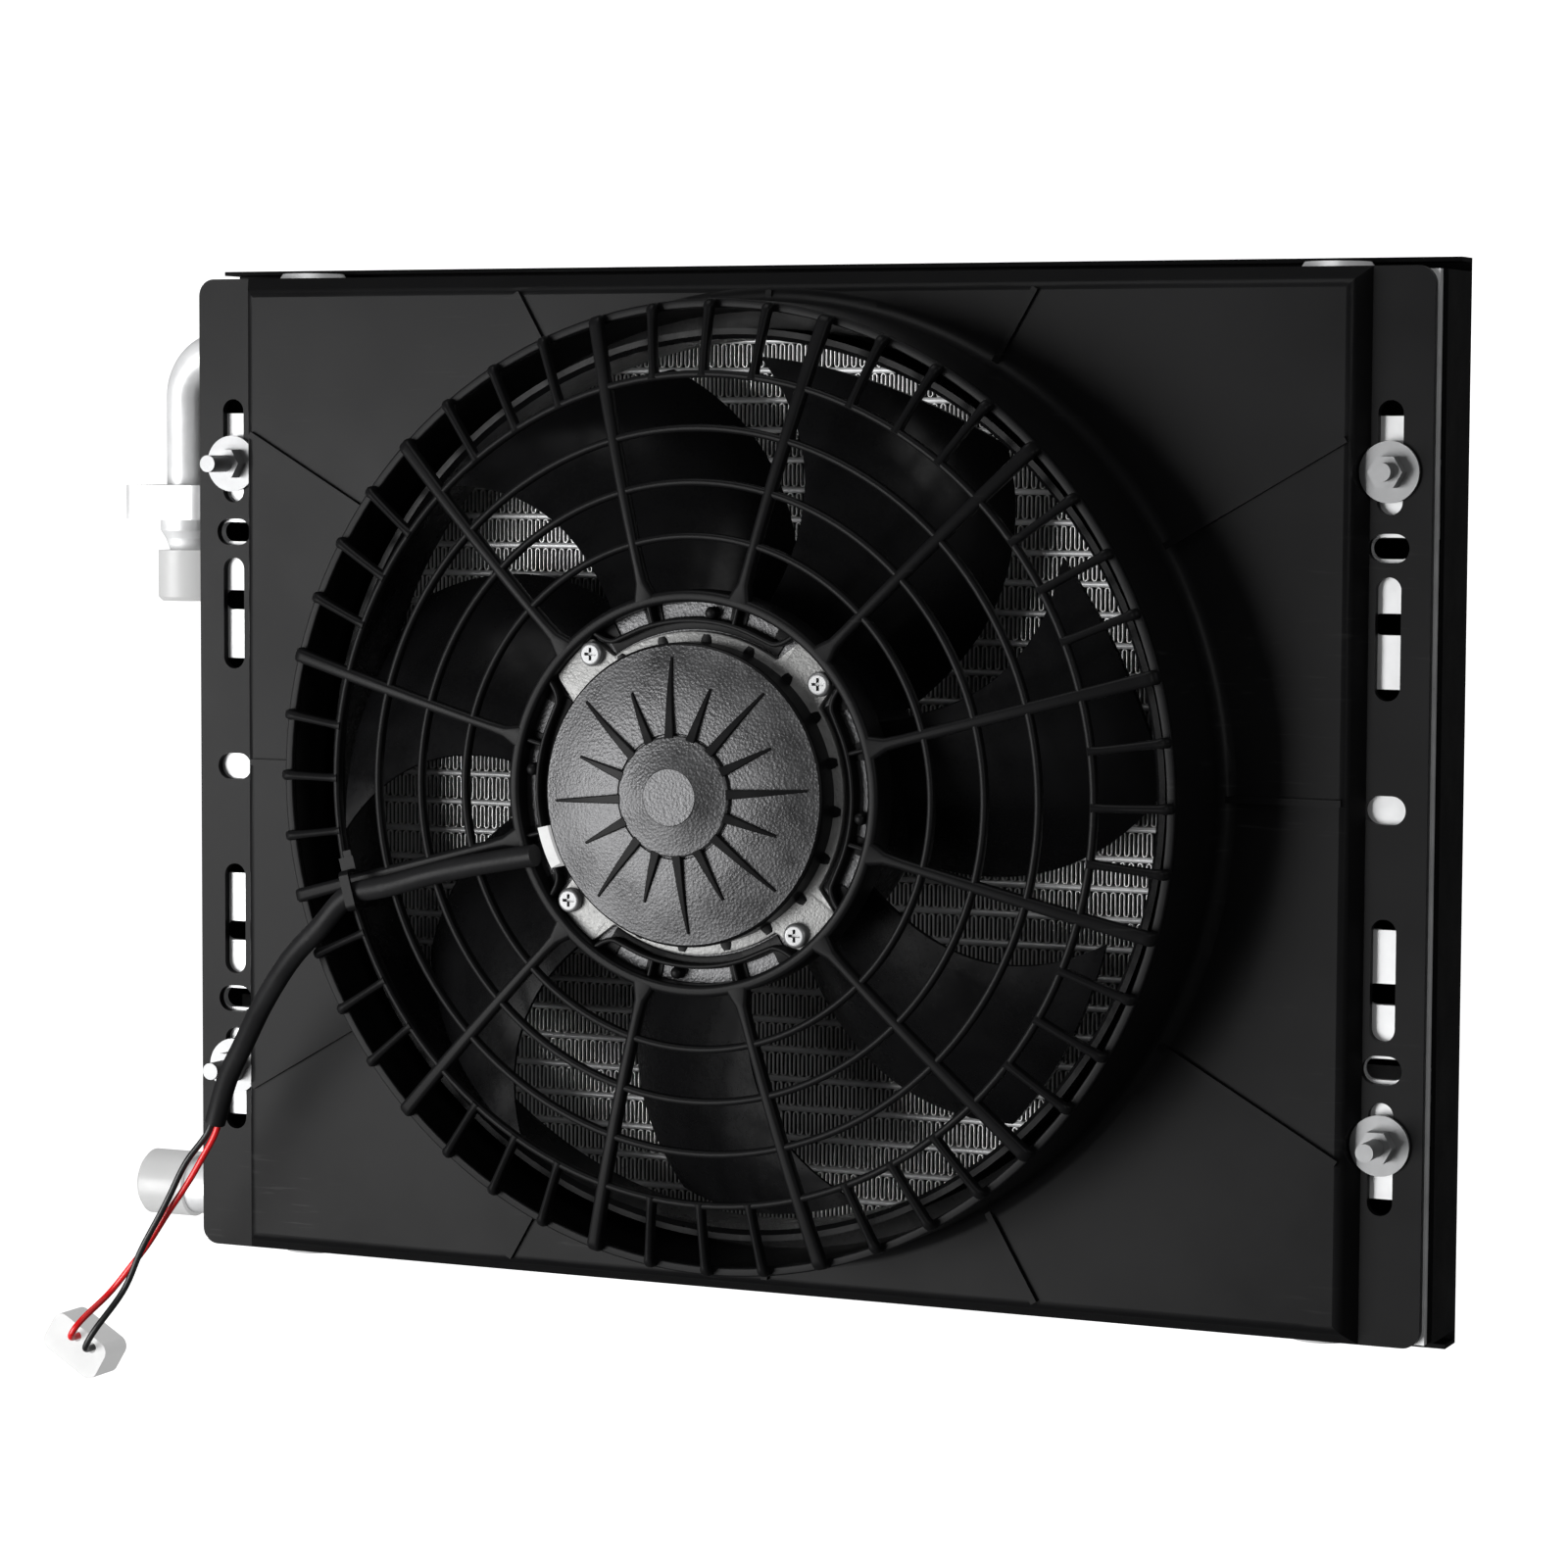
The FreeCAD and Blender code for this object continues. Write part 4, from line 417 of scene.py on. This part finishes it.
FINISHES = {
    "black_moulding": finish(
        "black_moulding", (0.005, 0.005, 0.0053), 0.36, grain=1500, bump=0.2, depth=0.05, mottle=0.15,
        mottle_scale=14, rough_swing=0.05, shine=0.09, scuff=(0.015, 0.015, 0.015)),
    "gloss_black": finish(
        "gloss_black", (0.004, 0.004, 0.0043), 0.28, grain=500, bump=0.06, depth=0.04, mottle=0.2,
        mottle_scale=22, rough_swing=0.07, shine=0.12),
    "cast_grey": finish(
        "cast_grey", (0.24, 0.24, 0.236), 0.5, metal=0.5, grain=1300, bump=0.9, depth=0.18, mottle=0.25,
        mottle_scale=90, rough_swing=0.12, pits=(900, 0.35), speckle=((0.2, 0.2, 0.2), 700)),
    "dark_textured": finish(
        "dark_textured", (0.09, 0.09, 0.092), 0.4, metal=0.85, grain=1500, bump=0.8, depth=0.14,
        mottle=0.15, mottle_scale=60, rough_swing=0.1, pits=(1000, 0.45)),
    "zinc_steel": finish(
        "zinc_steel", (0.23, 0.232, 0.235), 0.4, metal=0.65, grain=1200, bump=0.03, depth=0.01, mottle=0.06,
        mottle_scale=120, rough_swing=0.04),
    "bare_steel": finish(
        "bare_steel", (0.45, 0.45, 0.46), 0.35, metal=1, grain=300, bump=0.2, depth=0.03,
        stretch=(1, 14, 1), rough_swing=0.08),
    "bright_aluminium": finish(
        "bright_aluminium", (0.68, 0.685, 0.69), 0.4, metal=0.3, grain=420, bump=0.16, depth=0.03,
        mottle=0.06, mottle_scale=70, stretch=(1, 6, 1), rough_swing=0.1),
    "black_paint": finish(
        "black_paint", (0.0035, 0.0035, 0.0037), 0.55, grain=2200, bump=0.3, depth=0.05, mottle=0.2,
        mottle_scale=35, rough_swing=0.07, shine=0.05, scuff=(0.01, 0.01, 0.01)),
    # painted glow: the white nylon emits a faint white light of its own, with its colour kept low to make
    # up for it
    "white_nylon": finish(
        "white_nylon", (0.2, 0.202, 0.2), 0.4, grain=700, bump=0.12, depth=0.05, mottle=0.03,
        mottle_scale=80, rough_swing=0.06, subsurface_and_glow=0.38),
    "sleeve_black": finish(
        "sleeve_black", (0.01, 0.01, 0.0105), 0.42, grain=800, bump=0.25, depth=0.06, mottle=0.15,
        mottle_scale=50, rough_swing=0.08, shine=0.1),
    "red_insulation": finish(
        "red_insulation", (0.62, 0.006, 0.008), 0.32, grain=600, bump=0.12, depth=0.03, mottle=0.1,
        mottle_scale=90, rough_swing=0.06),
    "black_insulation": finish(
        "black_insulation", (0.008, 0.008, 0.0085), 0.34, grain=600, bump=0.12, depth=0.03, mottle=0.1,
        mottle_scale=90, rough_swing=0.06),
    "copper": finish(
        "copper", (0.72, 0.34, 0.18), 0.3, metal=1, grain=500, bump=0.3, depth=0.1, stretch=(1, 1, 8)),
    "tin_brass": finish("tin_brass", (0.78, 0.68, 0.45), 0.3, metal=1, grain=900, bump=0.15, depth=0.03),
    "ferrite": finish("ferrite", (0.08, 0.08, 0.085), 0.7, grain=1500, bump=0.5, depth=0.1),
    "carbon": finish("carbon", (0.04, 0.04, 0.04), 0.55, grain=1800, bump=0.4, depth=0.08),
}
FIN_FINISH = finish(
    "rolled_fins", (0.95, 0.95, 0.95), 0.36, metal=0.3, grain=500, bump=0.2, depth=0.03, mottle=0.1,
    mottle_scale=120, rough_swing=0.1)


def paint_shade_behind(material, front, fade):
    """Paint shade into a finish from a depth backwards: its colour darkens behind the fins' front edges,
    standing in for the shade that falls deep between the fins.
    """
    tree = material.node_tree
    shader = next(part for part in tree.nodes if part.type == "BSDF_PRINCIPLED")
    base = shader.inputs["Base Color"].links[0].from_socket
    where = node(tree, "ShaderNodeTexCoord").outputs["Object"]
    apart = node(tree, "ShaderNodeSeparateXYZ")
    tree.links.new(where, apart.inputs[0])
    amount = ranged(tree, apart.outputs["Y"], 0, 1, front, front + fade)
    tree.links.new(mixed(tree, amount, base, (0.03, 0.03, 0.03)), shader.inputs["Base Color"])


def dress_cad_nodes():
    """Every carried-over CAD node takes the finish of its slot in the record."""
    slots = {row["node"]: row["material_slot"] for row in frame["record"]["subparts"]}
    for name, item in frame["nodes"].items():
        item.data.materials.clear()
        item.data.materials.append(FINISHES[slots[name]])


# ---------------------------------------------------------------- finger guard

def guard_front(radius):
    share = (radius - HUB) / (RIM - RIM_ROUND - HUB)
    return HUB_FRONT + (RIM_FRONT - HUB_FRONT) * share + 4 * DOME * share * (1 - share)


def guard_rib(shape, clock, start, width_at):
    """A rib along the dome, bent back at the rim onto the collar."""
    deep, thin = 4.5 * MM, 3.2 * MM
    knee = RIM - RIM_ROUND
    stations = []
    steps = 16
    for step in range(steps + 1):
        radius = start + (knee - start) * step / steps
        centre = facing(radius, clock, guard_front(radius) - deep / 2)
        outline = rounded(width_at(radius), deep, 1.5 * MM)
        stations.append(placed(outline, centre, sideways(clock), FRONTWARD))
    for turn in (22.5, 45, 67.5, 90):
        angle = math.radians(turn)
        now_deep = deep + (thin - deep) * turn / 90
        bend = RIM_ROUND - now_deep / 2
        radius = knee + bend * math.sin(angle)
        depth = RIM_FRONT - RIM_ROUND + bend * math.cos(angle)
        up = outward(clock) * math.sin(angle) + FRONTWARD * math.cos(angle)
        outline = rounded(width_at(RIM), now_deep, 1.3 * MM)
        stations.append(placed(outline, facing(radius, clock, depth), sideways(clock), up))
    outline = rounded(width_at(RIM), thin, 1.3 * MM)
    stations.append(placed(
        outline, facing(RIM - thin / 2, clock, COLLAR_FRONT), sideways(clock), outward(clock)))
    shape.sweep(stations)


def spoke_width(radius):
    """Main spokes widen a little to the rim and flare where they leave the hub."""
    share = (radius - HUB) / (RIM - HUB)
    return (3.6 + 1.2 * share) * MM + 5 * MM * math.exp(-max(0, radius - HUB) / (2.2 * MM))


def rim_rib_width(radius):
    share = (RIM - radius) / (25 * MM)
    return (2.6 + 0.9 * math.exp(-share * 5) + 1.2 * math.exp(-(1 - share) * 14)) * MM


def seat_wall_path(start, end):
    """From one ear to the next: out at the ears, in along the motor plate, with eased corners."""
    corner = [(64.2, 10.3), (62.4, 10.9), (59.6, 12.3), (57.5, 14.6), (57, 18)]
    middle_run = [(57, 18 + (end - start - 36) * step / 6) for step in range(1, 6)]
    mirrored = [(radius, end - start - turn) for radius, turn in reversed(corner)]
    spots = corner + middle_run + mirrored
    return smooth_path([facing(radius * MM, start + turn, 0) for radius, turn in spots], 4)


def seat_side(shape, ear):
    """Floor, windows, walls and studs of the seat, from one ear to the next."""
    start, end = ear + 12.5, ear + 77.5
    heart = ear + 45
    back = SEAT_FLOOR - 2 * MM
    solid_from = start
    for opening, closing in ((-28.5, -17.6), (-12, 12), (17.6, 28.5)):
        sector(shape, SEAT, LEDGE, solid_from, heart + opening, back, SEAT_FLOOR)
        sector(shape, SEAT, 58.2 * MM, heart + opening, heart + closing, back, SEAT_FLOOR)
        solid_from = heart + closing
    sector(shape, SEAT, LEDGE, solid_from, end, back, SEAT_FLOOR)
    wall(shape, seat_wall_path(ear, ear + 90), 1.7 * MM, back, SEAT_WALL_FRONT)
    for web in (-14.8, 14.8):
        run = [facing(56.5 * MM, heart + web, 0), facing(LEDGE + 1 * MM, heart + web, 0)]
        wall(shape, run, 1.5 * MM, back, SEAT_WALL_FRONT - 0.4 * MM)
    peg(shape, facing(59.8 * MM, heart + 6, back - 1 * MM), 2.1 * MM, 6.6 * MM)
    sector(shape, SEAT, LEDGE, ear - 14, ear + 14, 57 * MM, 60 * MM)


def build_guard():
    shape = Shape()
    each = RIM_RIBS // SPOKES
    for number in range(RIM_RIBS):
        clock = 360 * number / RIM_RIBS
        if number % each == each // 2:
            guard_rib(shape, clock, HUB - 1.5 * MM, spoke_width)
        else:
            guard_rib(shape, clock, RIM_RIB_START, rim_rib_width)
    for number in range(RINGS):
        radius = FIRST_RING + (LAST_RING - FIRST_RING) * number / (RINGS - 1)
        hoop(shape, radius, 2.5 * MM, guard_front(radius) - 0.3 * MM, 3.6 * MM, 1.1 * MM)
    hub_back = 57 * MM
    hoop(shape, (HUB + LEDGE) / 2, HUB - LEDGE, HUB_FRONT, HUB_FRONT - hub_back, 1.4 * MM)
    hoop(shape, RIM - 1.5 * MM, 3 * MM, COLLAR_FRONT + 2 * MM, 2 * MM, 0.6 * MM)
    for number in range(EARS):
        seat_side(shape, FIRST_EAR + 90 * number)
    return shape.object("guard", "root", FINISHES["black_moulding"], ["fan_guard"])


# ---------------------------------------------------------------- motor

def plate_reach(clock):
    """Outer radius of the cast plate: round, with four soft-cornered ears."""
    off = abs((clock - FIRST_EAR + 45) % 90 - 45)
    share = min(1, max(0, (12.2 - off) / 4.6))
    return (53.4 + (63 - 53.4) * share * share * (3 - 2 * share)) * MM


def build_motor_plate():
    """Cast plate with four ears, the can's flange seen through the seat windows, and edge notches."""
    shape = Shape()
    bore = 44 * MM
    back = back_of("motor_mounting_plate")
    steps = 720
    rings = []
    clocks = [360 * step / steps for step in range(steps)]
    edge = [(0, PLATE_FRONT - back), (0, 0.7 * MM), (0.25 * MM, 0.2 * MM), (0.8 * MM, 0)]
    for inset, below in edge:
        rings.append([facing(plate_reach(clock) - inset, clock, PLATE_FRONT - below) for clock in clocks])
    for depth in (PLATE_FRONT, back):
        rings.append([facing(bore, clock, depth) for clock in clocks])
    shape.sweep(rings, closed=True)
    cast_faces = len(shape.faces)
    flange, flange_width, flange_front = 57 * MM, 12.6 * MM, 64.3 * MM
    hoop(shape, flange, flange_width, flange_front, 3 * MM, 0.6 * MM)
    flange_faces = len(shape.faces)
    notches, first_notch = 20, 4.7
    for number in range(notches):
        clock = first_notch + 360 * number / notches
        stations = []
        for radius, half in ((COVER - 0.4 * MM, 2.1), (COVER + 1.4 * MM, 1.7), (COVER + 2.6 * MM, 1.1)):
            centre = facing(radius, clock, PLATE_FRONT)
            outline = rounded(2 * half * MM, 0.7 * MM, 0.2 * MM, 2)
            stations.append(placed(outline, centre, sideways(clock), FRONTWARD))
        shape.sweep(stations)
    plate = shape.object(
        "motor_plate_casting", "root", FINISHES["cast_grey"], ["motor_mounting_plate"], 30)
    paint(plate, cast_faces, flange_faces, FINISHES["dark_textured"])
    paint(plate, flange_faces, len(shape.faces), FINISHES["black_moulding"])


def build_cover():
    """Stepped cover with long and short tapered ribs."""
    shape = Shape()
    top = front_of("motor_end_cover")
    boss, rim_top = 19.8 * MM, top - 9.9 * MM
    boss_top = top - 2.9 * MM
    profile = [(COVER - 3 * MM, PLATE_FRONT), (COVER, PLATE_FRONT), (COVER, rim_top - 1.4 * MM)]
    profile += [(COVER - 0.25 * MM, rim_top - 0.7 * MM), (COVER - 0.9 * MM, rim_top - 0.1 * MM)]
    slope_start, slope_end = COVER - 1.8 * MM, boss + 0.9 * MM
    for step in range(9):
        share = step / 8
        lift = 0.9 * MM * math.sin(math.pi * share)
        profile.append((
            slope_start + (slope_end - slope_start) * share,
            rim_top + 0.1 * MM + (boss_top - 1.6 * MM - rim_top) * share + lift))
    profile += [(boss + 0.5 * MM, boss_top - 1.9 * MM), (boss, boss_top - 1.9 * MM)]
    profile += [(boss, boss_top - 0.5 * MM), (boss - 0.5 * MM, boss_top)]
    cap = 9.5 * MM
    for step in range(1, 7):
        share = step / 6
        profile.append((
            boss - 0.5 * MM - (boss - 0.5 * MM - cap) * share,
            boss_top + (top - 0.2 * MM - boss_top) * share ** 1.15))
    profile += [(cap - 0.3 * MM, top), (0, top)]
    lathe(shape, profile)
    turned_faces = len(shape.faces)

    ribs, first_rib = 16, -4
    long_rib, short_rib = COVER - 4.6 * MM, COVER - 12.8 * MM
    for number in range(ribs):
        clock = first_rib + 360 * number / ribs
        end = long_rib if number % 2 == 0 else short_rib
        start = boss - 0.6 * MM
        stations = []
        for step in range(9):
            share = step / 8
            radius = start + (end - start) * share
            width = (3.3 - 2.4 * share) * MM
            climb = (slope_start - radius) / (slope_start - slope_end)
            under = rim_top + (boss_top - 1.6 * MM - rim_top) * climb
            swell = 0.9 * MM * math.sin(math.pi * min(1, climb))
            tall = (1.5 - 1.0 * share) * MM
            centre = facing(radius, clock, under + swell + 0.1 * MM)
            outline = rounded(width, 2 * tall, min(width / 2, 0.35 * MM), 3)
            stations.append(placed(outline, centre, sideways(clock), FRONTWARD))
        shape.sweep(stations)
    cover = shape.object(
        "motor_cover_shell", "root", FINISHES["dark_textured"], ["motor_end_cover"], 14)
    paint(cover, turned_faces, len(shape.faces), FINISHES["black_moulding"])
    rim_rows = 4
    paint(cover, 0, rim_rows * TURNED_STEPS, FINISHES["black_moulding"])


# ---------------------------------------------------------------- fins

def build_fins():
    """Rounded serpentine strips between the flat tubes."""
    low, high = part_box("cooling_fins")
    pitch = 10.15 * MM
    rows = round((high.z - low.z) / pitch)
    tall = (high.z - low.z) - pitch * (rows - 1)
    fold = 3.1 * MM
    folds = int((high.x - low.x) / fold)
    fold = (high.x - low.x) / folds
    thick = 0.2 * MM
    crest = fold / 4
    centre_z = low.z + tall / 2
    leg = tall / 2 - crest - thick / 2
    line = []
    for number in range(2 * folds):
        x = low.x + crest + number * fold / 2
        up = 1 if number % 2 == 0 else -1
        for step in range(5):
            angle = math.pi * step / 4
            line.append((x - crest * math.cos(angle), up * (leg + crest * math.sin(angle))))
    shape = Shape()
    rings = []
    for number, (x, z) in enumerate(line):
        x0, z0 = line[max(0, number - 1)]
        x1, z1 = line[min(len(line) - 1, number + 1)]
        size = math.hypot(x1 - x0, z1 - z0)
        nx, nz = -(z1 - z0) / size * thick / 2, (x1 - x0) / size * thick / 2
        front, back = low.y, high.y
        rings.append([
            Vector((x + nx, front, centre_z + z + nz)), Vector((x + nx, back, centre_z + z + nz)),
            Vector((x - nx, back, centre_z + z - nz)), Vector((x - nx, front, centre_z + z - nz))])
    shape.sweep(rings)
    # painted shade: the fins' colour darkens to near black behind their front edges, where shade falls
    # between them
    paint_shade_behind(FIN_FINISH, low.y + 0.6 * MM, 1.4 * MM)
    fins = shape.object(
        "serpentine_fins", "root", FIN_FINISH, ["cooling_fins"], 50)
    repeat = fins.modifiers.new("rows", "ARRAY")
    repeat.use_relative_offset = False
    repeat.use_constant_offset = True
    repeat.constant_offset_displace = (0, 0, pitch)
    repeat.count = rows
    return fins


# ---------------------------------------------------------------- stage, light and camera

def build_stage():
    """Pale floor that curves up into a pale wall."""
    floor_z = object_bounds()[0][2] - 4 * MM
    shape = Shape()
    side = 6.0
    section = [(-5.0, 0.0), (1.6, 0.0)]
    for step in range(1, 9):
        angle = math.radians(90 * step / 8)
        section.append((1.6 + 1.2 * math.sin(angle), 1.2 - 1.2 * math.cos(angle)))
    section.append((2.8, 6.0))
    left = shape.ring([Vector((-side, y, floor_z + z)) for y, z in section])
    right = shape.ring([Vector((side, y, floor_z + z)) for y, z in section])
    shape.bridge(left, right, wrap=False)
    mesh = bpy.data.meshes.new("backdrop")
    mesh.from_pydata([tuple(point) for point in shape.points], [], shape.faces)
    mesh.shade_smooth()
    mesh.materials.append(backdrop_finish())
    backdrop = bpy.data.objects.new("backdrop", mesh)
    backdrop.visible_shadow = False
    bpy.context.scene.collection.objects.link(backdrop)


def seen_by_camera(tree):
    return node(tree, "ShaderNodeLightPath").outputs["Is Camera Ray"]


def backdrop_finish():
    """Pale to the camera, dimmer to everything else, with a faint soft shadow."""
    material, tree = tree_of("backdrop")
    where = node(tree, "ShaderNodeTexCoord").outputs["Object"]
    paper = node(tree, "ShaderNodeBsdfDiffuse")
    tone = mixed(tree, ranged(tree, noise(tree, where, 3), 0, 1), (0.86, 0.86, 0.86), (0.9, 0.9, 0.9))
    tree.links.new(tone, paper.inputs["Color"])
    glow = node(tree, "ShaderNodeEmission", in_Strength=0.93)
    both = node(tree, "ShaderNodeAddShader")
    tree.links.new(paper.outputs[0], both.inputs[0])
    tree.links.new(glow.outputs[0], both.inputs[1])
    dim = node(tree, "ShaderNodeBsdfDiffuse")
    dim.inputs["Color"].default_value = (0.35, 0.35, 0.35, 1)
    choice = node(tree, "ShaderNodeMixShader")
    tree.links.new(seen_by_camera(tree), choice.inputs[0])
    tree.links.new(dim.outputs[0], choice.inputs[1])
    tree.links.new(both.outputs[0], choice.inputs[2])
    out = node(tree, "ShaderNodeOutputMaterial")
    tree.links.new(choice.outputs[0], out.inputs["Surface"])
    return material


def area_light(name, at, aim, size, power, tall=None):
    data = bpy.data.lights.new(name, "AREA")
    data.energy = power
    data.shape = "RECTANGLE"
    data.size = size
    data.size_y = tall or size
    lamp = bpy.data.objects.new(name, data)
    lamp.location = at
    lamp.visible_camera = False
    lamp.rotation_euler = (Vector(aim) - Vector(at)).to_track_quat("-Z", "Y").to_euler()
    bpy.context.scene.collection.objects.link(lamp)
    return lamp


def build_light():
    area_light("key", (-1.62, -2.1, -0.55), (0, 0, 0), 1.7, 112, 1.6)
    area_light("side", (1.75, -1.45, 0.5), (0, 0, 0), 0.8, 6)
    area_light("rim", (2.3, 0.5, 0.9), (0.1, 0, 0), 0.8, 3)
    area_light("top", (-0.3, -0.8, 2.2), (0, 0, 0), 1.4, 16)
    world = bpy.data.worlds.new("studio")
    world.use_nodes = True
    tree = world.node_tree
    background = tree.nodes["Background"]
    tone = mixed(tree, seen_by_camera(tree), (0.09, 0.09, 0.092), (1.0, 1.0, 1.0))
    tree.links.new(tone, background.inputs["Color"])
    bpy.context.scene.world = world
    bpy.context.scene.view_settings.view_transform = "Standard"


CAMERA_AT = Vector((0.6316, -1.4071, 0.1176))
CAMERA_YAW = 24.09
CAMERA_PITCH = 4.32
CAMERA_ROLL = 0.28
CAMERA_LENS = 103.84


def build_camera():
    data = bpy.data.cameras.new("camera")
    data.sensor_width = 36
    data.lens = CAMERA_LENS
    camera = bpy.data.objects.new("camera", data)
    yaw, pitch, roll = (math.radians(angle) for angle in (CAMERA_YAW, CAMERA_PITCH, CAMERA_ROLL))
    ahead = Vector((-math.sin(yaw) * math.cos(pitch), math.cos(yaw) * math.cos(pitch), -math.sin(pitch)))
    level = Vector((math.cos(yaw), math.sin(yaw), 0))
    upright = level.cross(ahead)
    right = level * math.cos(roll) + upright * math.sin(roll)
    up = upright * math.cos(roll) - level * math.sin(roll)
    turn = Matrix((right, up, -ahead)).transposed()
    camera.matrix_world = Matrix.Translation(CAMERA_AT) @ turn.to_4x4()
    bpy.context.scene.collection.objects.link(camera)
    bpy.context.scene.camera = camera


dress_cad_nodes()
build_guard()
build_motor_plate()
build_cover()
build_fins()
build_stage()
build_light()
build_camera()
